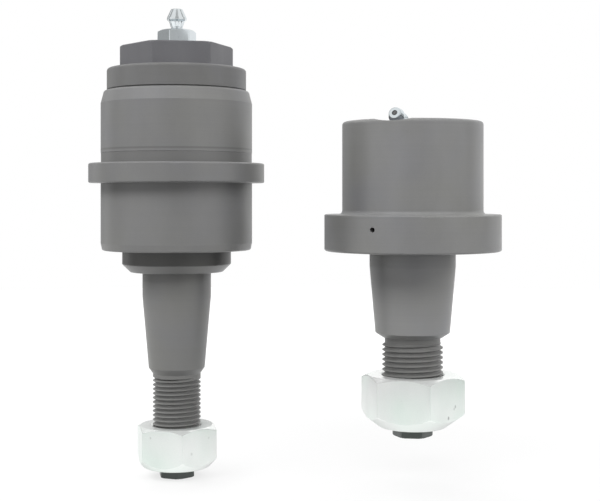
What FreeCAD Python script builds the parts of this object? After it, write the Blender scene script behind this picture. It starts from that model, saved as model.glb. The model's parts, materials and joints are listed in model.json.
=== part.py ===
import FreeCAD, Part
import math
import os

# A matched set of two rebuildable suspension ball joints, one tall and one short.
# Both have a steel housing that is pressed into a steering knuckle, a ball stud
# with a 10 degree taper held between two hardened seats, and a domed lock nut.
# Millimetres, +Z up. The origin is on the tall joint's axis, in the plane of the
# shoulder of its flange. Each joint is built about its own axis with its flange
# shoulder at height zero, and the short one is then moved to its place.

# Place of the short joint in the set
AXIS_SPACING = 86.5
SHORT_SHOULDER_DROP = 18.6

# Fits that both joints share
BALL_CLEARANCE = 0.05
BORE_CLEARANCE = 0.05
THREAD_CLEARANCE = 0.05
SWING_CLEARANCE = 0.3
SEAL_CLEARANCE = 0.05
SEAT_SPLIT = 1.5
TILT_DEG = 6.5
TAPER_HALF_ANGLE_DEG = 5.0
SEAT_EDGE_ROUND = 0.4
SEAT_CROWN_ROUND = 0.8
GREASE_GROOVE_RADIUS = 1.0
FLARE_ABOVE_MOUTH = 0.5

# Tall joint, socket
TALL_BALL_RADIUS = 18.3
TALL_SEAT_WALL = 4.15
TALL_HOUSING_WALL = 5.05
TALL_FLOOR_THICKNESS = 3.6
TALL_BALL_ABOVE_FLOOR = 9.0
TALL_SEAT_SKIRT = 1.4
TALL_SEAT_RISE = 17.0
TALL_SEAT_HOLE_RADIUS = 9.0
TALL_BALL_FLAT_HEIGHT = 15.0

# Tall joint, housing
TALL_FLANGE_WIDTH = 4.45
TALL_FLANGE_HEIGHT = 7.15
TALL_RELIEF_HEIGHT = 3.7
TALL_RELIEF_DEPTH = 0.1
TALL_LEAD_IN_START = 21.8
TALL_LEAD_IN_WIDTH = 1.2
TALL_TOP = 26.4
TALL_BODY_LENGTH = 31.6
TALL_BODY_CHAMFER_WIDTH = 0.55
TALL_BODY_CHAMFER_HEIGHT = 2.6
TALL_BOSS_WALL = 2.4
TALL_LIP_HEIGHT = 7.5
TALL_NOSE_HEIGHT = 2.85
TALL_NOSE_WALL = 1.7
TALL_EDGE_ROUND = 0.6
TALL_NOSE_ROUND = 0.5
TALL_BOSS_ROUND = 0.6
TALL_TOP_ROUND = 1.0

# Tall joint, adjusting cap with its lock ring and seal
TALL_RING_HEIGHT = 8.1
TALL_RING_WALL = 2.85
TALL_RING_ROUND = 1.0
TALL_RING_UNDERCUT = 0.5
TALL_CAP_FLATS = 36.0
TALL_CAP_HEX_HEIGHT = 8.5
TALL_CAP_CORNER_CUT = 0.5
TALL_PLUG_ROUND = 0.6
TALL_CAP_CORNER_DEG = 40.0
TALL_CAP_WALL = 8.4
TALL_CAP_CROWN = 6.0
TALL_GREASE_HOLE_RADIUS = 1.5
SEAL_SECTION_RADIUS = 0.8
SEAL_GROOVE_RISE = 2.4

# Preload washers
TALL_WASHER_THICKNESS = 1.6
SHORT_WASHER_THICKNESS = 1.2
WASHER_DISH = 1.0
WASHER_HOLE_MARGIN = 1.8
WASHER_RIM_MARGIN = 1.4

# Tall joint, stud and nut
TALL_NECK_RADIUS = 11.0
TALL_STUD_RADIUS = 12.5
TALL_NECK_FLARE_HEIGHT = 4.0
TALL_STUD_BELOW_LIP = 9.0
TALL_TAPER_LENGTH = 26.0
TALL_TAPER_CHAMFER = 2.1
TALL_RUNOUT_LENGTH = 1.3
TALL_THREAD_RADIUS = 8.73
TALL_THREAD_PITCH = 1.5875
TALL_NUT_GAP = 21.0
TALL_NUT_FLATS = 26.99
TALL_NUT_HEX_HEIGHT = 11.4
TALL_NUT_HEIGHT = 15.5
TALL_NUT_CORNER_DEG = 13.2
TALL_NUT_SHOULDER_INSET = 3.6
TALL_TIP_FLATS = 12.0
TALL_TIP_CORNER_DEG = 10.8
TALL_TIP_PROUD = 3.3

# Short joint, socket
SHORT_BALL_RADIUS = 18.5
SHORT_SEAT_WALL = 3.0
SHORT_HOUSING_WALL = 4.2
SHORT_BALL_HEIGHT = 9.1
SHORT_BALL_ABOVE_FLOOR = 9.0
SHORT_SEAT_SKIRT = 1.4
SHORT_SEAT_RISE = 16.5
SHORT_SEAT_HOLE_RADIUS = 9.8
SHORT_BALL_FLAT_HEIGHT = 14.5

# Short joint, housing
SHORT_FLANGE_WIDTH = 6.55
SHORT_FLANGE_HEIGHT = 13.4
SHORT_FLANGE_ROUND = 0.8
SHORT_SHOULDER_FILLET = 1.5
SHORT_RIM_ROUND = 1.2
SHORT_FLANGE_TOP_ROUND = 0.5
SHORT_RIM_RECESS = 1.35
SHORT_NOTCH_CURVE_RADIUS = 30.0
SHORT_NOTCH_DEPTH = 0.85
SHORT_NOTCH_AZIMUTH_DEG = -22.0
SHORT_RELIEF_HOLE_RADIUS = 0.9
SHORT_RELIEF_HOLE_DROP = 5.0
SHORT_RELIEF_AZIMUTH_DEG = -30.6

# Short joint, cover, snap ring and seal
SHORT_COVER_THICKNESS = 3.2
SHORT_COVER_ROUND = 0.3
SNAP_RING_THICKNESS = 1.5
SNAP_RING_BITE = 1.0
SNAP_RING_WIDTH = 3.0
SNAP_RING_GAP_DEG = 34.0
SNAP_RING_EYE_RADIUS = 2.1
SNAP_RING_EYE_HOLE_RADIUS = 0.9
SNAP_RING_EYE_INSET = 0.63
SNAP_RING_AZIMUTH_DEG = 150.0

# Short joint, stud and nut
SHORT_NECK_RADIUS = 12.0
SHORT_STUD_RADIUS = 15.75
SHORT_NECK_FLARE_HEIGHT = 5.5
SHORT_STUD_BELOW_LIP = 5.6
SHORT_TAPER_LENGTH = 24.2
SHORT_TAPER_CHAMFER = 1.8
SHORT_TAPER_END_STEP = -0.2
SHORT_UNDERCUT_LENGTH = 1.8
SHORT_UNDERCUT_DEPTH = 0.95
SHORT_THREAD_RADIUS = 11.11
SHORT_THREAD_PITCH = 1.814
SHORT_NUT_GAP = 15.4
SHORT_NUT_FLATS = 33.34
SHORT_NUT_HEX_HEIGHT = 13.8
SHORT_NUT_HEIGHT = 19.3
SHORT_NUT_CORNER_DEG = 13.8
SHORT_NUT_SHOULDER_INSET = 7.05
SHORT_TIP_FLATS = 12.7
SHORT_TIP_CORNER_DEG = 22.1
SHORT_TIP_PROUD = 3.2

# What the two studs and nuts share
TIP_CHAMFER = 0.4
TIP_INSIDE_NUT = 3.4
NUT_CHAMFER_INSET = 0.3
NUT_CHAMFER_DEG = 30.0
NUT_CROWN_HEIGHT = 2.2
NUT_SHOULDER_RISE = 0.25
NUT_SHOULDER_ROUND = 2.0
NUT_DOME_ROUND = 1.0
NUT_END_ROUND = 0.4
NUT_TOP_ROUND = 0.3
TAPER_END_ROUND = 0.4
STUD_SHOULDER_ROUND = 4.0
STUD_FLARE_ROUND = 2.0
NUT_LEAD_IN = 0.6
THREAD_DEPTH_PER_PITCH = 0.5413

# Straight lubrication fitting of the tall joint
FITTING_HEX_FLATS = 12.4
FITTING_HEX_HEIGHT = 5.8
FITTING_HEX_CORNER_DEG = -15.0
FITTING_HEX_CHAMFER = 0.7
FITTING_HEX_INSET = 0.3
FITTING_STEM_TAPER = 0.5
FITTING_STEM_PARALLEL = 1.0
FITTING_FLARE_RADIUS = 2.7
FITTING_FLARE_HEIGHT = 0.8
FITTING_STEM_RADIUS = 5.0
FITTING_STEM_LENGTH = 7.5
FITTING_NECK_RADIUS = 2.1
FITTING_COLLAR_RADIUS = 2.8
FITTING_HEAD_RADIUS = 3.6
FITTING_TIP_RADIUS = 2.1
FITTING_NIPPLE_LENGTH = 7.8
FITTING_HEAD_DROP = 3.7

# Nipple profile that both fittings share, about the middle of the head's lip
NIPPLE_NECK_DROP = 0.9
NIPPLE_LIP_DROP = 0.3
NIPPLE_LIP_RISE = 0.5
NIPPLE_NECK_ROUND = 0.5
NIPPLE_LIP_ROUND = 0.3
NIPPLE_HEAD_ROUND = 0.4

# Angled lubrication fitting of the short joint
ELBOW_ANGLE_DEG = 67.5
ELBOW_AZIMUTH_DEG = -22.0
ELBOW_OFFSET = 4.0
ELBOW_HEX_FLATS = 8.7
ELBOW_HEX_HEIGHT = 1.8
ELBOW_HEIGHT = 2.2
ELBOW_BODY_RADIUS = 3.3
ELBOW_STEM_RADIUS = 3.15
ELBOW_NECK_RADIUS = 2.35
ELBOW_HEAD_RADIUS = 2.95
ELBOW_TIP_RADIUS = 2.2
ELBOW_NIPPLE_LENGTH = 9.3
ELBOW_HEAD_DROP = 2.7
ELBOW_SHANK_LENGTH = 2.6
ELBOW_NECK_START = 3.8

# Check valve inside each fitting
CHECK_BALL_RADIUS = 1.4
CHECK_BALL_CLEARANCE = 0.05
CHECK_MOUTH_RADIUS = 1.0
CHECK_MOUTH_LIP = 0.15
CHECK_SPRING_LENGTH = 4.6
CHECK_SPRING_WIRE_RADIUS = 0.16
CHECK_SPRING_TURNS = 5
CHECK_DRAIN_RADIUS = 0.8

V = FreeCAD.Vector
ORIGIN = V(0, 0, 0)
UP = V(0, 0, 1)
MARGIN = 1.0
SAME_POINT = 1e-6
HEX_REACH = 0.5 / math.cos(math.pi / 6)

TILT = math.radians(TILT_DEG)
TAPER = math.tan(math.radians(TAPER_HALF_ANGLE_DEG))


def facing(azimuth_deg):
    """Level direction that lies azimuth_deg from the front (-Y), towards +X."""
    angle = math.radians(azimuth_deg)
    return V(math.sin(angle), -math.cos(angle), 0)


def corner_arc(before, corner, after, radius):
    """Start, middle and end of the arc that rounds one corner of an outline."""
    towards_before = before - corner
    towards_after = after - corner
    room = 0.49 * min(towards_before.Length, towards_after.Length)
    towards_before.normalize()
    towards_after.normalize()
    half = 0.5 * towards_before.getAngle(towards_after)
    reach = min(radius / math.tan(half), room)
    fitted = reach * math.tan(half)
    bisector = towards_before + towards_after
    bisector.normalize()
    middle = corner + bisector * (math.hypot(fitted, reach) - fitted)
    return corner + towards_before * reach, middle, corner + towards_after * reach


def turned(outline):
    """Revolve an outline of (radius, height) points about the Z axis.

    A point may carry a third number, the radius that rounds its corner.
    """
    corners = [V(point[0], 0, point[1]) for point in outline]
    turns = []
    for index, corner in enumerate(corners):
        after = corners[(index + 1) % len(corners)]
        if len(outline[index]) > 2:
            turns.append(corner_arc(corners[index - 1], corner, after, outline[index][2]))
        else:
            turns.append((corner, None, corner))
    edges = []
    for (start, middle, end), (following, _, _) in zip(turns, turns[1:] + turns[:1]):
        if middle is not None:
            edges.append(Part.Arc(start, middle, end).toShape())
        if end.distanceToPoint(following) > SAME_POINT:
            edges.append(Part.LineSegment(end, following).toShape())
    face = Part.Face(Part.Wire(edges))
    return face.revolve(ORIGIN, UP, 360)


def rod(radius, low, high):
    """Upright round bar between two heights."""
    return Part.makeCylinder(radius, high - low, V(0, 0, low))


def hexagon(flats, low, high, corner_deg):
    """Upright hexagonal bar with one corner at corner_deg from the front."""
    corners = []
    for turn in range(7):
        corner = facing(corner_deg + 60.0 * turn) * (flats * HEX_REACH)
        corner.z = low
        corners.append(corner)
    return Part.Face(Part.makePolygon(corners)).extrude(UP * (high - low))


def swing_radius(radius, depth):
    """Hole radius that clears a stud radius at full tilt, depth below the ball."""
    return radius / math.cos(TILT) + depth * math.tan(TILT) + SWING_CLEARANCE


def seat_depth(ball_radius, neck_radius):
    """Depth below the ball centre where the seat's sphere meets the tilted neck."""
    slope = math.tan(TILT)
    start = swing_radius(neck_radius, 0.0)
    sphere = ball_radius + BALL_CLEARANCE
    square = 1.0 + slope * slope
    root = math.sqrt((start * slope) ** 2 + square * (sphere ** 2 - start ** 2))
    return (root - start * slope) / square


def sphere_section(ball_radius, height):
    """Radius of the seats' sphere at a height above or below the ball centre."""
    return math.sqrt((ball_radius + BALL_CLEARANCE) ** 2 - height ** 2)


class Socket:
    """Heights and radii of the ball and its two seats, shared by housing and stud."""

    def __init__(self, ball_radius, ball_height, above_floor, seat_wall, skirt, neck_radius, lip):
        self.ball_radius = ball_radius
        self.centre = ball_height
        self.bore_radius = ball_radius + BALL_CLEARANCE + seat_wall + BORE_CLEARANCE
        self.floor = ball_height - above_floor
        self.skirt_radius = sphere_section(ball_radius, above_floor) + skirt
        self.neck_radius = neck_radius
        self.seat_bottom = ball_height - seat_depth(ball_radius, neck_radius)
        self.mouth = self.seat_bottom - lip

    def swing(self, radius, height):
        """Hole radius that clears the stud's radius at a height."""
        return swing_radius(radius, self.centre - height)

    def swung_height(self, radius, height):
        """Height to which full tilt lifts a point of the stud, with its clearance."""
        lowered = (self.centre - height) * math.cos(TILT)
        return self.centre - lowered + radius * math.sin(TILT) + SWING_CLEARANCE

    def throat(self, stud_radius, flare_height):
        """Cut-out for the neck and stud from the seat down through the mouth.

        Its cone stands where full tilt brings the stud's own cone.
        """
        flare_end = self.mouth + FLARE_ABOVE_MOUTH
        neck_end = self.swung_height(self.neck_radius, flare_end + flare_height)
        stud_start = self.swung_height(stud_radius, flare_end)
        below = self.mouth - MARGIN
        return turned([
            (0, self.seat_bottom + MARGIN),
            (self.swing(self.neck_radius, self.seat_bottom), self.seat_bottom + MARGIN),
            (self.swing(self.neck_radius, self.seat_bottom), self.seat_bottom),
            (self.swing(self.neck_radius, neck_end), neck_end),
            (self.swing(stud_radius, stud_start), stud_start),
            (self.swing(stud_radius, self.mouth), self.mouth),
            (self.swing(stud_radius, self.mouth), below),
            (0, below),
        ])

    def bore(self, top):
        """Stepped bore that takes the seats, open at the top."""
        return turned([
            (0, self.seat_bottom),
            (self.skirt_radius + BORE_CLEARANCE, self.seat_bottom),
            (self.skirt_radius + BORE_CLEARANCE, self.floor),
            (self.bore_radius, self.floor),
            (self.bore_radius, top),
            (0, top),
        ])

    def sphere(self):
        """Hollow that the ball turns in."""
        return Part.makeSphere(self.ball_radius + BALL_CLEARANCE, V(0, 0, self.centre))

    def lower_seat(self):
        """Stepped lower seat: a shoulder on the bore's floor and a skirt in the boss."""
        outer = self.bore_radius - BORE_CLEARANCE
        body = turned([
            (0, self.seat_bottom),
            (self.skirt_radius, self.seat_bottom, SEAT_EDGE_ROUND),
            (self.skirt_radius, self.floor),
            (outer, self.floor, SEAT_EDGE_ROUND),
            (outer, self.centre - 0.5 * SEAT_SPLIT, SEAT_EDGE_ROUND),
            (0, self.centre - 0.5 * SEAT_SPLIT),
        ])
        return body.cut(self.sphere())

    def upper_seat(self, rise, hole_radius):
        """Upper seat, open at the crown so that grease reaches the ball."""
        outer = self.bore_radius - BORE_CLEARANCE
        bottom = self.centre + 0.5 * SEAT_SPLIT
        body = turned([
            (0, bottom),
            (outer, bottom, SEAT_EDGE_ROUND),
            (outer, self.centre + rise, SEAT_CROWN_ROUND),
            (0, self.centre + rise),
        ])
        body = body.cut(self.sphere())
        body = body.cut(rod(hole_radius, bottom, self.centre + rise + MARGIN))
        return body.cut(self.grease_grooves(rise))

    def grease_grooves(self, rise):
        """Two shallow grooves that cross on the upper seat's crown."""
        grooves = []
        for azimuth_deg in (0.0, 90.0):
            along = facing(azimuth_deg)
            start = V(0, 0, self.centre + rise) - along * self.bore_radius
            grooves.append(Part.makeCylinder(GREASE_GROOVE_RADIUS, 2 * self.bore_radius, start, along))
        return grooves

    def ball(self, flat_height):
        """Ball with a flat crown."""
        whole = Part.makeSphere(self.ball_radius, V(0, 0, self.centre))
        reach = self.ball_radius + MARGIN
        keep = rod(reach, self.centre - reach, self.centre + flat_height)
        return whole.common(keep)


TALL_BODY_BOTTOM = -TALL_BODY_LENGTH
TALL = Socket(
    TALL_BALL_RADIUS,
    TALL_BODY_BOTTOM + TALL_FLOOR_THICKNESS + TALL_BALL_ABOVE_FLOOR,
    TALL_BALL_ABOVE_FLOOR,
    TALL_SEAT_WALL,
    TALL_SEAT_SKIRT,
    TALL_NECK_RADIUS,
    TALL_LIP_HEIGHT,
)
TALL_BODY_RADIUS = TALL.bore_radius + TALL_HOUSING_WALL
TALL_SEAT_TOP = TALL.centre + TALL_SEAT_RISE
TALL_PLUG_RADIUS = TALL.bore_radius - THREAD_CLEARANCE
TALL_PLUG_BOTTOM = TALL_SEAT_TOP + WASHER_DISH + TALL_WASHER_THICKNESS
TALL_RING_TOP = TALL_TOP + TALL_RING_HEIGHT
TALL_CAP_TOP = TALL_RING_TOP + TALL_CAP_HEX_HEIGHT

SHORT = Socket(
    SHORT_BALL_RADIUS,
    SHORT_BALL_HEIGHT,
    SHORT_BALL_ABOVE_FLOOR,
    SHORT_SEAT_WALL,
    SHORT_SEAT_SKIRT,
    SHORT_NECK_RADIUS,
    SHORT_FLANGE_HEIGHT + SHORT_BALL_HEIGHT - seat_depth(SHORT_BALL_RADIUS, SHORT_NECK_RADIUS),
)
SHORT_BODY_RADIUS = SHORT.bore_radius + SHORT_HOUSING_WALL
SHORT_SEAT_TOP = SHORT.centre + SHORT_SEAT_RISE
SHORT_COVER_BOTTOM = SHORT_SEAT_TOP + WASHER_DISH + SHORT_WASHER_THICKNESS
SHORT_COVER_TOP = SHORT_COVER_BOTTOM + SHORT_COVER_THICKNESS
SHORT_RIM = SHORT_COVER_TOP + SNAP_RING_THICKNESS + SHORT_RIM_RECESS


def tall_housing():
    """Housing of the tall joint: press body, flange, lower body and boss."""
    boss_radius = TALL.skirt_radius + BORE_CLEARANCE + TALL_BOSS_WALL
    nose_radius = TALL.swing(TALL_STUD_RADIUS, TALL.mouth) + TALL_NOSE_WALL
    relief_radius = TALL_BODY_RADIUS - TALL_RELIEF_DEPTH
    body = turned([
        (0, TALL.mouth),
        (nose_radius, TALL.mouth, TALL_NOSE_ROUND),
        (boss_radius, TALL.mouth + TALL_NOSE_HEIGHT, TALL_BOSS_ROUND),
        (boss_radius, TALL_BODY_BOTTOM),
        (TALL_BODY_RADIUS - TALL_BODY_CHAMFER_WIDTH, TALL_BODY_BOTTOM, TALL_EDGE_ROUND),
        (TALL_BODY_RADIUS, TALL_BODY_BOTTOM + TALL_BODY_CHAMFER_HEIGHT),
        (TALL_BODY_RADIUS, -TALL_FLANGE_HEIGHT),
        (TALL_BODY_RADIUS + TALL_FLANGE_WIDTH, -TALL_FLANGE_HEIGHT, TALL_EDGE_ROUND),
        (TALL_BODY_RADIUS + TALL_FLANGE_WIDTH, 0, TALL_EDGE_ROUND),
        (relief_radius, 0),
        (relief_radius, TALL_RELIEF_HEIGHT),
        (TALL_BODY_RADIUS, TALL_RELIEF_HEIGHT + TALL_RELIEF_DEPTH),
        (TALL_BODY_RADIUS, TALL_LEAD_IN_START),
        (TALL_BODY_RADIUS - TALL_LEAD_IN_WIDTH, TALL_TOP, TALL_TOP_ROUND),
        (0, TALL_TOP),
    ])
    body = body.cut(TALL.bore(TALL_TOP + MARGIN))
    return body.cut(TALL.throat(TALL_STUD_RADIUS, TALL_NECK_FLARE_HEIGHT))


def disc_washer(bottom, hole_radius, rim_radius, thickness):
    """Dished preload washer: its hole rests low and its rim stands high."""
    return turned([
        (hole_radius, bottom),
        (rim_radius, bottom + WASHER_DISH),
        (rim_radius, bottom + WASHER_DISH + thickness),
        (hole_radius, bottom + thickness),
    ])


def seal_groove(outer_radius, bottom):
    """Ring-shaped cut for a round-section seal in the side of a plug."""
    floor_radius = outer_radius - 2 * (SEAL_SECTION_RADIUS + SEAL_CLEARANCE)
    height = 2 * SEAL_SECTION_RADIUS + 4 * SEAL_CLEARANCE
    ring = rod(outer_radius + MARGIN, bottom, bottom + height)
    return ring.cut(rod(floor_radius, bottom - MARGIN, bottom + height + MARGIN))


def round_seal(bore_radius, plug_radius, groove_bottom):
    """Round-section seal that lies in seal_groove against the bore."""
    floor_radius = plug_radius - 2 * (SEAL_SECTION_RADIUS + SEAL_CLEARANCE)
    ring_radius = 0.5 * (floor_radius + bore_radius)
    height = groove_bottom + SEAL_SECTION_RADIUS + 2 * SEAL_CLEARANCE
    return Part.makeTorus(ring_radius, SEAL_SECTION_RADIUS, V(0, 0, height))


def tall_hex_cap():
    """Hollow adjusting plug with a hexagonal head and the fitting's tapped hole."""
    crown_radius = TALL_CAP_FLATS * HEX_REACH
    head = hexagon(TALL_CAP_FLATS, TALL_RING_TOP, TALL_CAP_TOP, TALL_CAP_CORNER_DEG)
    envelope = turned([
        (0, TALL_RING_TOP),
        (crown_radius + MARGIN, TALL_RING_TOP),
        (crown_radius + MARGIN, TALL_CAP_TOP - TALL_CAP_CORNER_CUT),
        (crown_radius, TALL_CAP_TOP - TALL_CAP_CORNER_CUT),
        (crown_radius - TALL_CAP_CORNER_CUT, TALL_CAP_TOP),
        (0, TALL_CAP_TOP),
    ])
    plug = turned([
        (0, TALL_PLUG_BOTTOM),
        (TALL_PLUG_RADIUS, TALL_PLUG_BOTTOM, TALL_PLUG_ROUND),
        (TALL_PLUG_RADIUS, TALL_RING_TOP),
        (0, TALL_RING_TOP),
    ])
    chamber_radius = TALL_PLUG_RADIUS - TALL_CAP_WALL
    socket_bottom = TALL_CAP_TOP - FITTING_STEM_LENGTH - MARGIN
    cap = plug.fuse(head.common(envelope))
    cap = cap.cut(rod(chamber_radius, TALL_PLUG_BOTTOM - MARGIN, socket_bottom - TALL_CAP_CROWN))
    cap = cap.cut(rod(TALL_GREASE_HOLE_RADIUS, TALL_PLUG_BOTTOM, TALL_CAP_TOP))
    cap = cap.cut(rod(FITTING_STEM_RADIUS + THREAD_CLEARANCE, socket_bottom, TALL_CAP_TOP + MARGIN))
    return cap.cut(seal_groove(TALL_PLUG_RADIUS, TALL_PLUG_BOTTOM + SEAL_GROOVE_RISE)).removeSplitter()


def tall_lock_ring():
    """Round lock ring that clamps the cap's thread against the housing's rim."""
    inner = TALL_PLUG_RADIUS + THREAD_CLEARANCE
    outer = inner + TALL_RING_WALL
    return turned([
        (inner, TALL_TOP),
        (outer - TALL_RING_UNDERCUT, TALL_TOP),
        (outer, TALL_TOP + TALL_RING_UNDERCUT),
        (outer, TALL_RING_TOP, TALL_RING_ROUND),
        (inner, TALL_RING_TOP),
    ])


def stud_tip(flats, low, high, corner_deg):
    """Hexagonal end of a stud, for a spanner, with its lower corners chamfered."""
    reach = flats * HEX_REACH
    envelope = turned([
        (0, low),
        (reach - TIP_CHAMFER, low),
        (reach, low + TIP_CHAMFER),
        (reach, high),
        (0, high),
    ])
    return hexagon(flats, low, high, corner_deg).common(envelope)


class Stud:
    """Heights of a stud and its nut, counted down from the housing's mouth."""

    def __init__(self, socket, radius, flare, below_lip, taper, chamfer, step, undercut, depth,
                 thread_radius, nut_gap, nut_height, tip_proud, tip_flats, tip_corner):
        self.socket = socket
        self.radius = radius
        self.flare = flare
        self.taper_start = socket.mouth - below_lip
        self.taper_end = self.taper_start - taper
        self.taper_radius = radius - taper * TAPER
        self.chamfer_end = self.taper_end - chamfer
        self.chamfer_radius = min(thread_radius + step, self.taper_radius)
        self.thread_start = self.chamfer_end - undercut
        self.undercut_radius = thread_radius - depth
        self.thread_radius = thread_radius
        self.nut_top = self.taper_end - nut_gap
        self.nut_bottom = self.nut_top - nut_height
        self.thread_end = self.nut_bottom + TIP_INSIDE_NUT
        self.tip = self.nut_bottom - tip_proud
        self.tip_flats = tip_flats
        self.tip_corner = tip_corner

    def shape(self, flat_height):
        """Ball, neck, tapered shank, thread blank and hexagonal tip in one forging."""
        flare_end = self.socket.mouth + FLARE_ABOVE_MOUTH
        shank = turned([
            (0, self.thread_end),
            (self.thread_radius - NUT_LEAD_IN, self.thread_end),
            (self.thread_radius, self.thread_end + NUT_LEAD_IN),
            (self.thread_radius, self.thread_start),
            (self.undercut_radius, self.thread_start),
            (self.undercut_radius, self.chamfer_end),
            (self.chamfer_radius, self.chamfer_end),
            (self.taper_radius, self.taper_end, TAPER_END_ROUND),
            (self.radius, self.taper_start, STUD_SHOULDER_ROUND),
            (self.radius, flare_end, STUD_FLARE_ROUND),
            (self.socket.neck_radius, flare_end + self.flare, STUD_FLARE_ROUND),
            (self.socket.neck_radius, self.socket.centre),
            (0, self.socket.centre),
        ])
        whole = self.socket.ball(flat_height).fuse(shank)
        tip = stud_tip(self.tip_flats, self.tip, self.thread_end + MARGIN, self.tip_corner)
        return whole.fuse(tip).removeSplitter()


def lock_nut(stud, flats, hex_height, shoulder_inset, pitch, corner_deg):
    """All-metal lock nut: hexagon with a chamfered top and a domed, closed-in crown."""
    reach = flats * HEX_REACH
    inner_radius = stud.thread_radius + THREAD_CLEARANCE
    crown_hole = stud.thread_radius - THREAD_DEPTH_PER_PITCH * pitch
    chamfer_radius = 0.5 * flats - NUT_CHAMFER_INSET
    chamfer_drop = (reach - chamfer_radius) * math.tan(math.radians(NUT_CHAMFER_DEG))
    dome_start = stud.nut_top - hex_height
    envelope = turned([
        (0, stud.nut_bottom),
        (crown_hole + NUT_LEAD_IN, stud.nut_bottom, NUT_END_ROUND),
        (reach - shoulder_inset, stud.nut_bottom + NUT_SHOULDER_RISE, NUT_SHOULDER_ROUND),
        (reach, dome_start, NUT_DOME_ROUND),
        (reach, stud.nut_top - chamfer_drop),
        (chamfer_radius, stud.nut_top, NUT_TOP_ROUND),
        (0, stud.nut_top),
    ])
    nut = hexagon(flats, stud.nut_bottom, stud.nut_top, corner_deg).common(envelope)
    nut = nut.cut(rod(inner_radius, stud.nut_bottom + NUT_CROWN_HEIGHT, stud.nut_top + MARGIN))
    nut = nut.cut(rod(crown_hole, stud.nut_bottom - MARGIN, stud.nut_top))
    lead_in = turned([
        (0, stud.nut_top - NUT_LEAD_IN),
        (inner_radius, stud.nut_top - NUT_LEAD_IN),
        (inner_radius + NUT_LEAD_IN, stud.nut_top),
        (0, stud.nut_top),
    ])
    return nut.cut(lead_in)


TALL_STUD = Stud(
    TALL, TALL_STUD_RADIUS, TALL_NECK_FLARE_HEIGHT, TALL_STUD_BELOW_LIP, TALL_TAPER_LENGTH,
    TALL_TAPER_CHAMFER, 0.0, TALL_RUNOUT_LENGTH, 0.5 * THREAD_DEPTH_PER_PITCH * TALL_THREAD_PITCH,
    TALL_THREAD_RADIUS, TALL_NUT_GAP, TALL_NUT_HEIGHT, TALL_TIP_PROUD, TALL_TIP_FLATS,
    TALL_TIP_CORNER_DEG,
)
SHORT_STUD = Stud(
    SHORT, SHORT_STUD_RADIUS, SHORT_NECK_FLARE_HEIGHT, SHORT_STUD_BELOW_LIP, SHORT_TAPER_LENGTH,
    SHORT_TAPER_CHAMFER, SHORT_TAPER_END_STEP, SHORT_UNDERCUT_LENGTH, SHORT_UNDERCUT_DEPTH,
    SHORT_THREAD_RADIUS, SHORT_NUT_GAP, SHORT_NUT_HEIGHT, SHORT_TIP_PROUD, SHORT_TIP_FLATS,
    SHORT_TIP_CORNER_DEG,
)


def short_housing():
    """Housing of the short joint: press body with a notched rim, and a deep flange."""
    body = turned([
        (0, -SHORT_FLANGE_HEIGHT),
        (SHORT_BODY_RADIUS + SHORT_FLANGE_WIDTH, -SHORT_FLANGE_HEIGHT, SHORT_FLANGE_ROUND),
        (SHORT_BODY_RADIUS + SHORT_FLANGE_WIDTH, 0, SHORT_FLANGE_TOP_ROUND),
        (SHORT_BODY_RADIUS, 0, SHORT_SHOULDER_FILLET),
        (SHORT_BODY_RADIUS, SHORT_RIM, SHORT_RIM_ROUND),
        (0, SHORT_RIM),
    ])
    body = body.cut(SHORT.bore(SHORT_RIM + MARGIN))
    body = body.cut(SHORT.throat(SHORT_STUD_RADIUS, SHORT_NECK_FLARE_HEIGHT))
    groove_top = SHORT_COVER_TOP + SNAP_RING_THICKNESS + BORE_CLEARANCE
    groove_radius = SHORT.bore_radius + SNAP_RING_BITE + BORE_CLEARANCE
    body = body.cut(rod(groove_radius, SHORT_COVER_TOP, groove_top))
    hole_start = facing(SHORT_RELIEF_AZIMUTH_DEG) * SHORT.neck_radius
    hole_start.z = -SHORT_RELIEF_HOLE_DROP
    hole_length = SHORT_BODY_RADIUS + SHORT_FLANGE_WIDTH + MARGIN - SHORT.neck_radius
    hole = Part.makeCylinder(SHORT_RELIEF_HOLE_RADIUS, hole_length, hole_start,
                             facing(SHORT_RELIEF_AZIMUTH_DEG))
    notch_axis = V(0, 0, SHORT_RIM - SHORT_NOTCH_DEPTH + SHORT_NOTCH_CURVE_RADIUS)
    notch = Part.makeCylinder(SHORT_NOTCH_CURVE_RADIUS, SHORT_BODY_RADIUS + MARGIN, notch_axis,
                              facing(SHORT_NOTCH_AZIMUTH_DEG))
    return body.cut([hole, notch])


def short_cover_plate():
    """Round cover with a seal groove in its side and a tapped hole for the fitting."""
    radius = SHORT.bore_radius - BORE_CLEARANCE
    cover = turned([
        (0, SHORT_COVER_BOTTOM),
        (radius, SHORT_COVER_BOTTOM, SHORT_COVER_ROUND),
        (radius, SHORT_COVER_TOP, SHORT_COVER_ROUND),
        (0, SHORT_COVER_TOP),
    ])
    hole = rod(ELBOW_STEM_RADIUS + THREAD_CLEARANCE, SHORT_COVER_BOTTOM - MARGIN, SHORT_COVER_TOP + MARGIN)
    hole.translate(V(-ELBOW_OFFSET, 0, 0))
    return cover.cut([seal_groove(radius, cover_groove_bottom()), hole])


def cover_groove_bottom():
    """Height of the cover's seal groove, in the middle of its side."""
    height = 2 * SEAL_SECTION_RADIUS + 4 * SEAL_CLEARANCE
    return SHORT_COVER_BOTTOM + 0.5 * (SHORT_COVER_THICKNESS - height)


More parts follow.
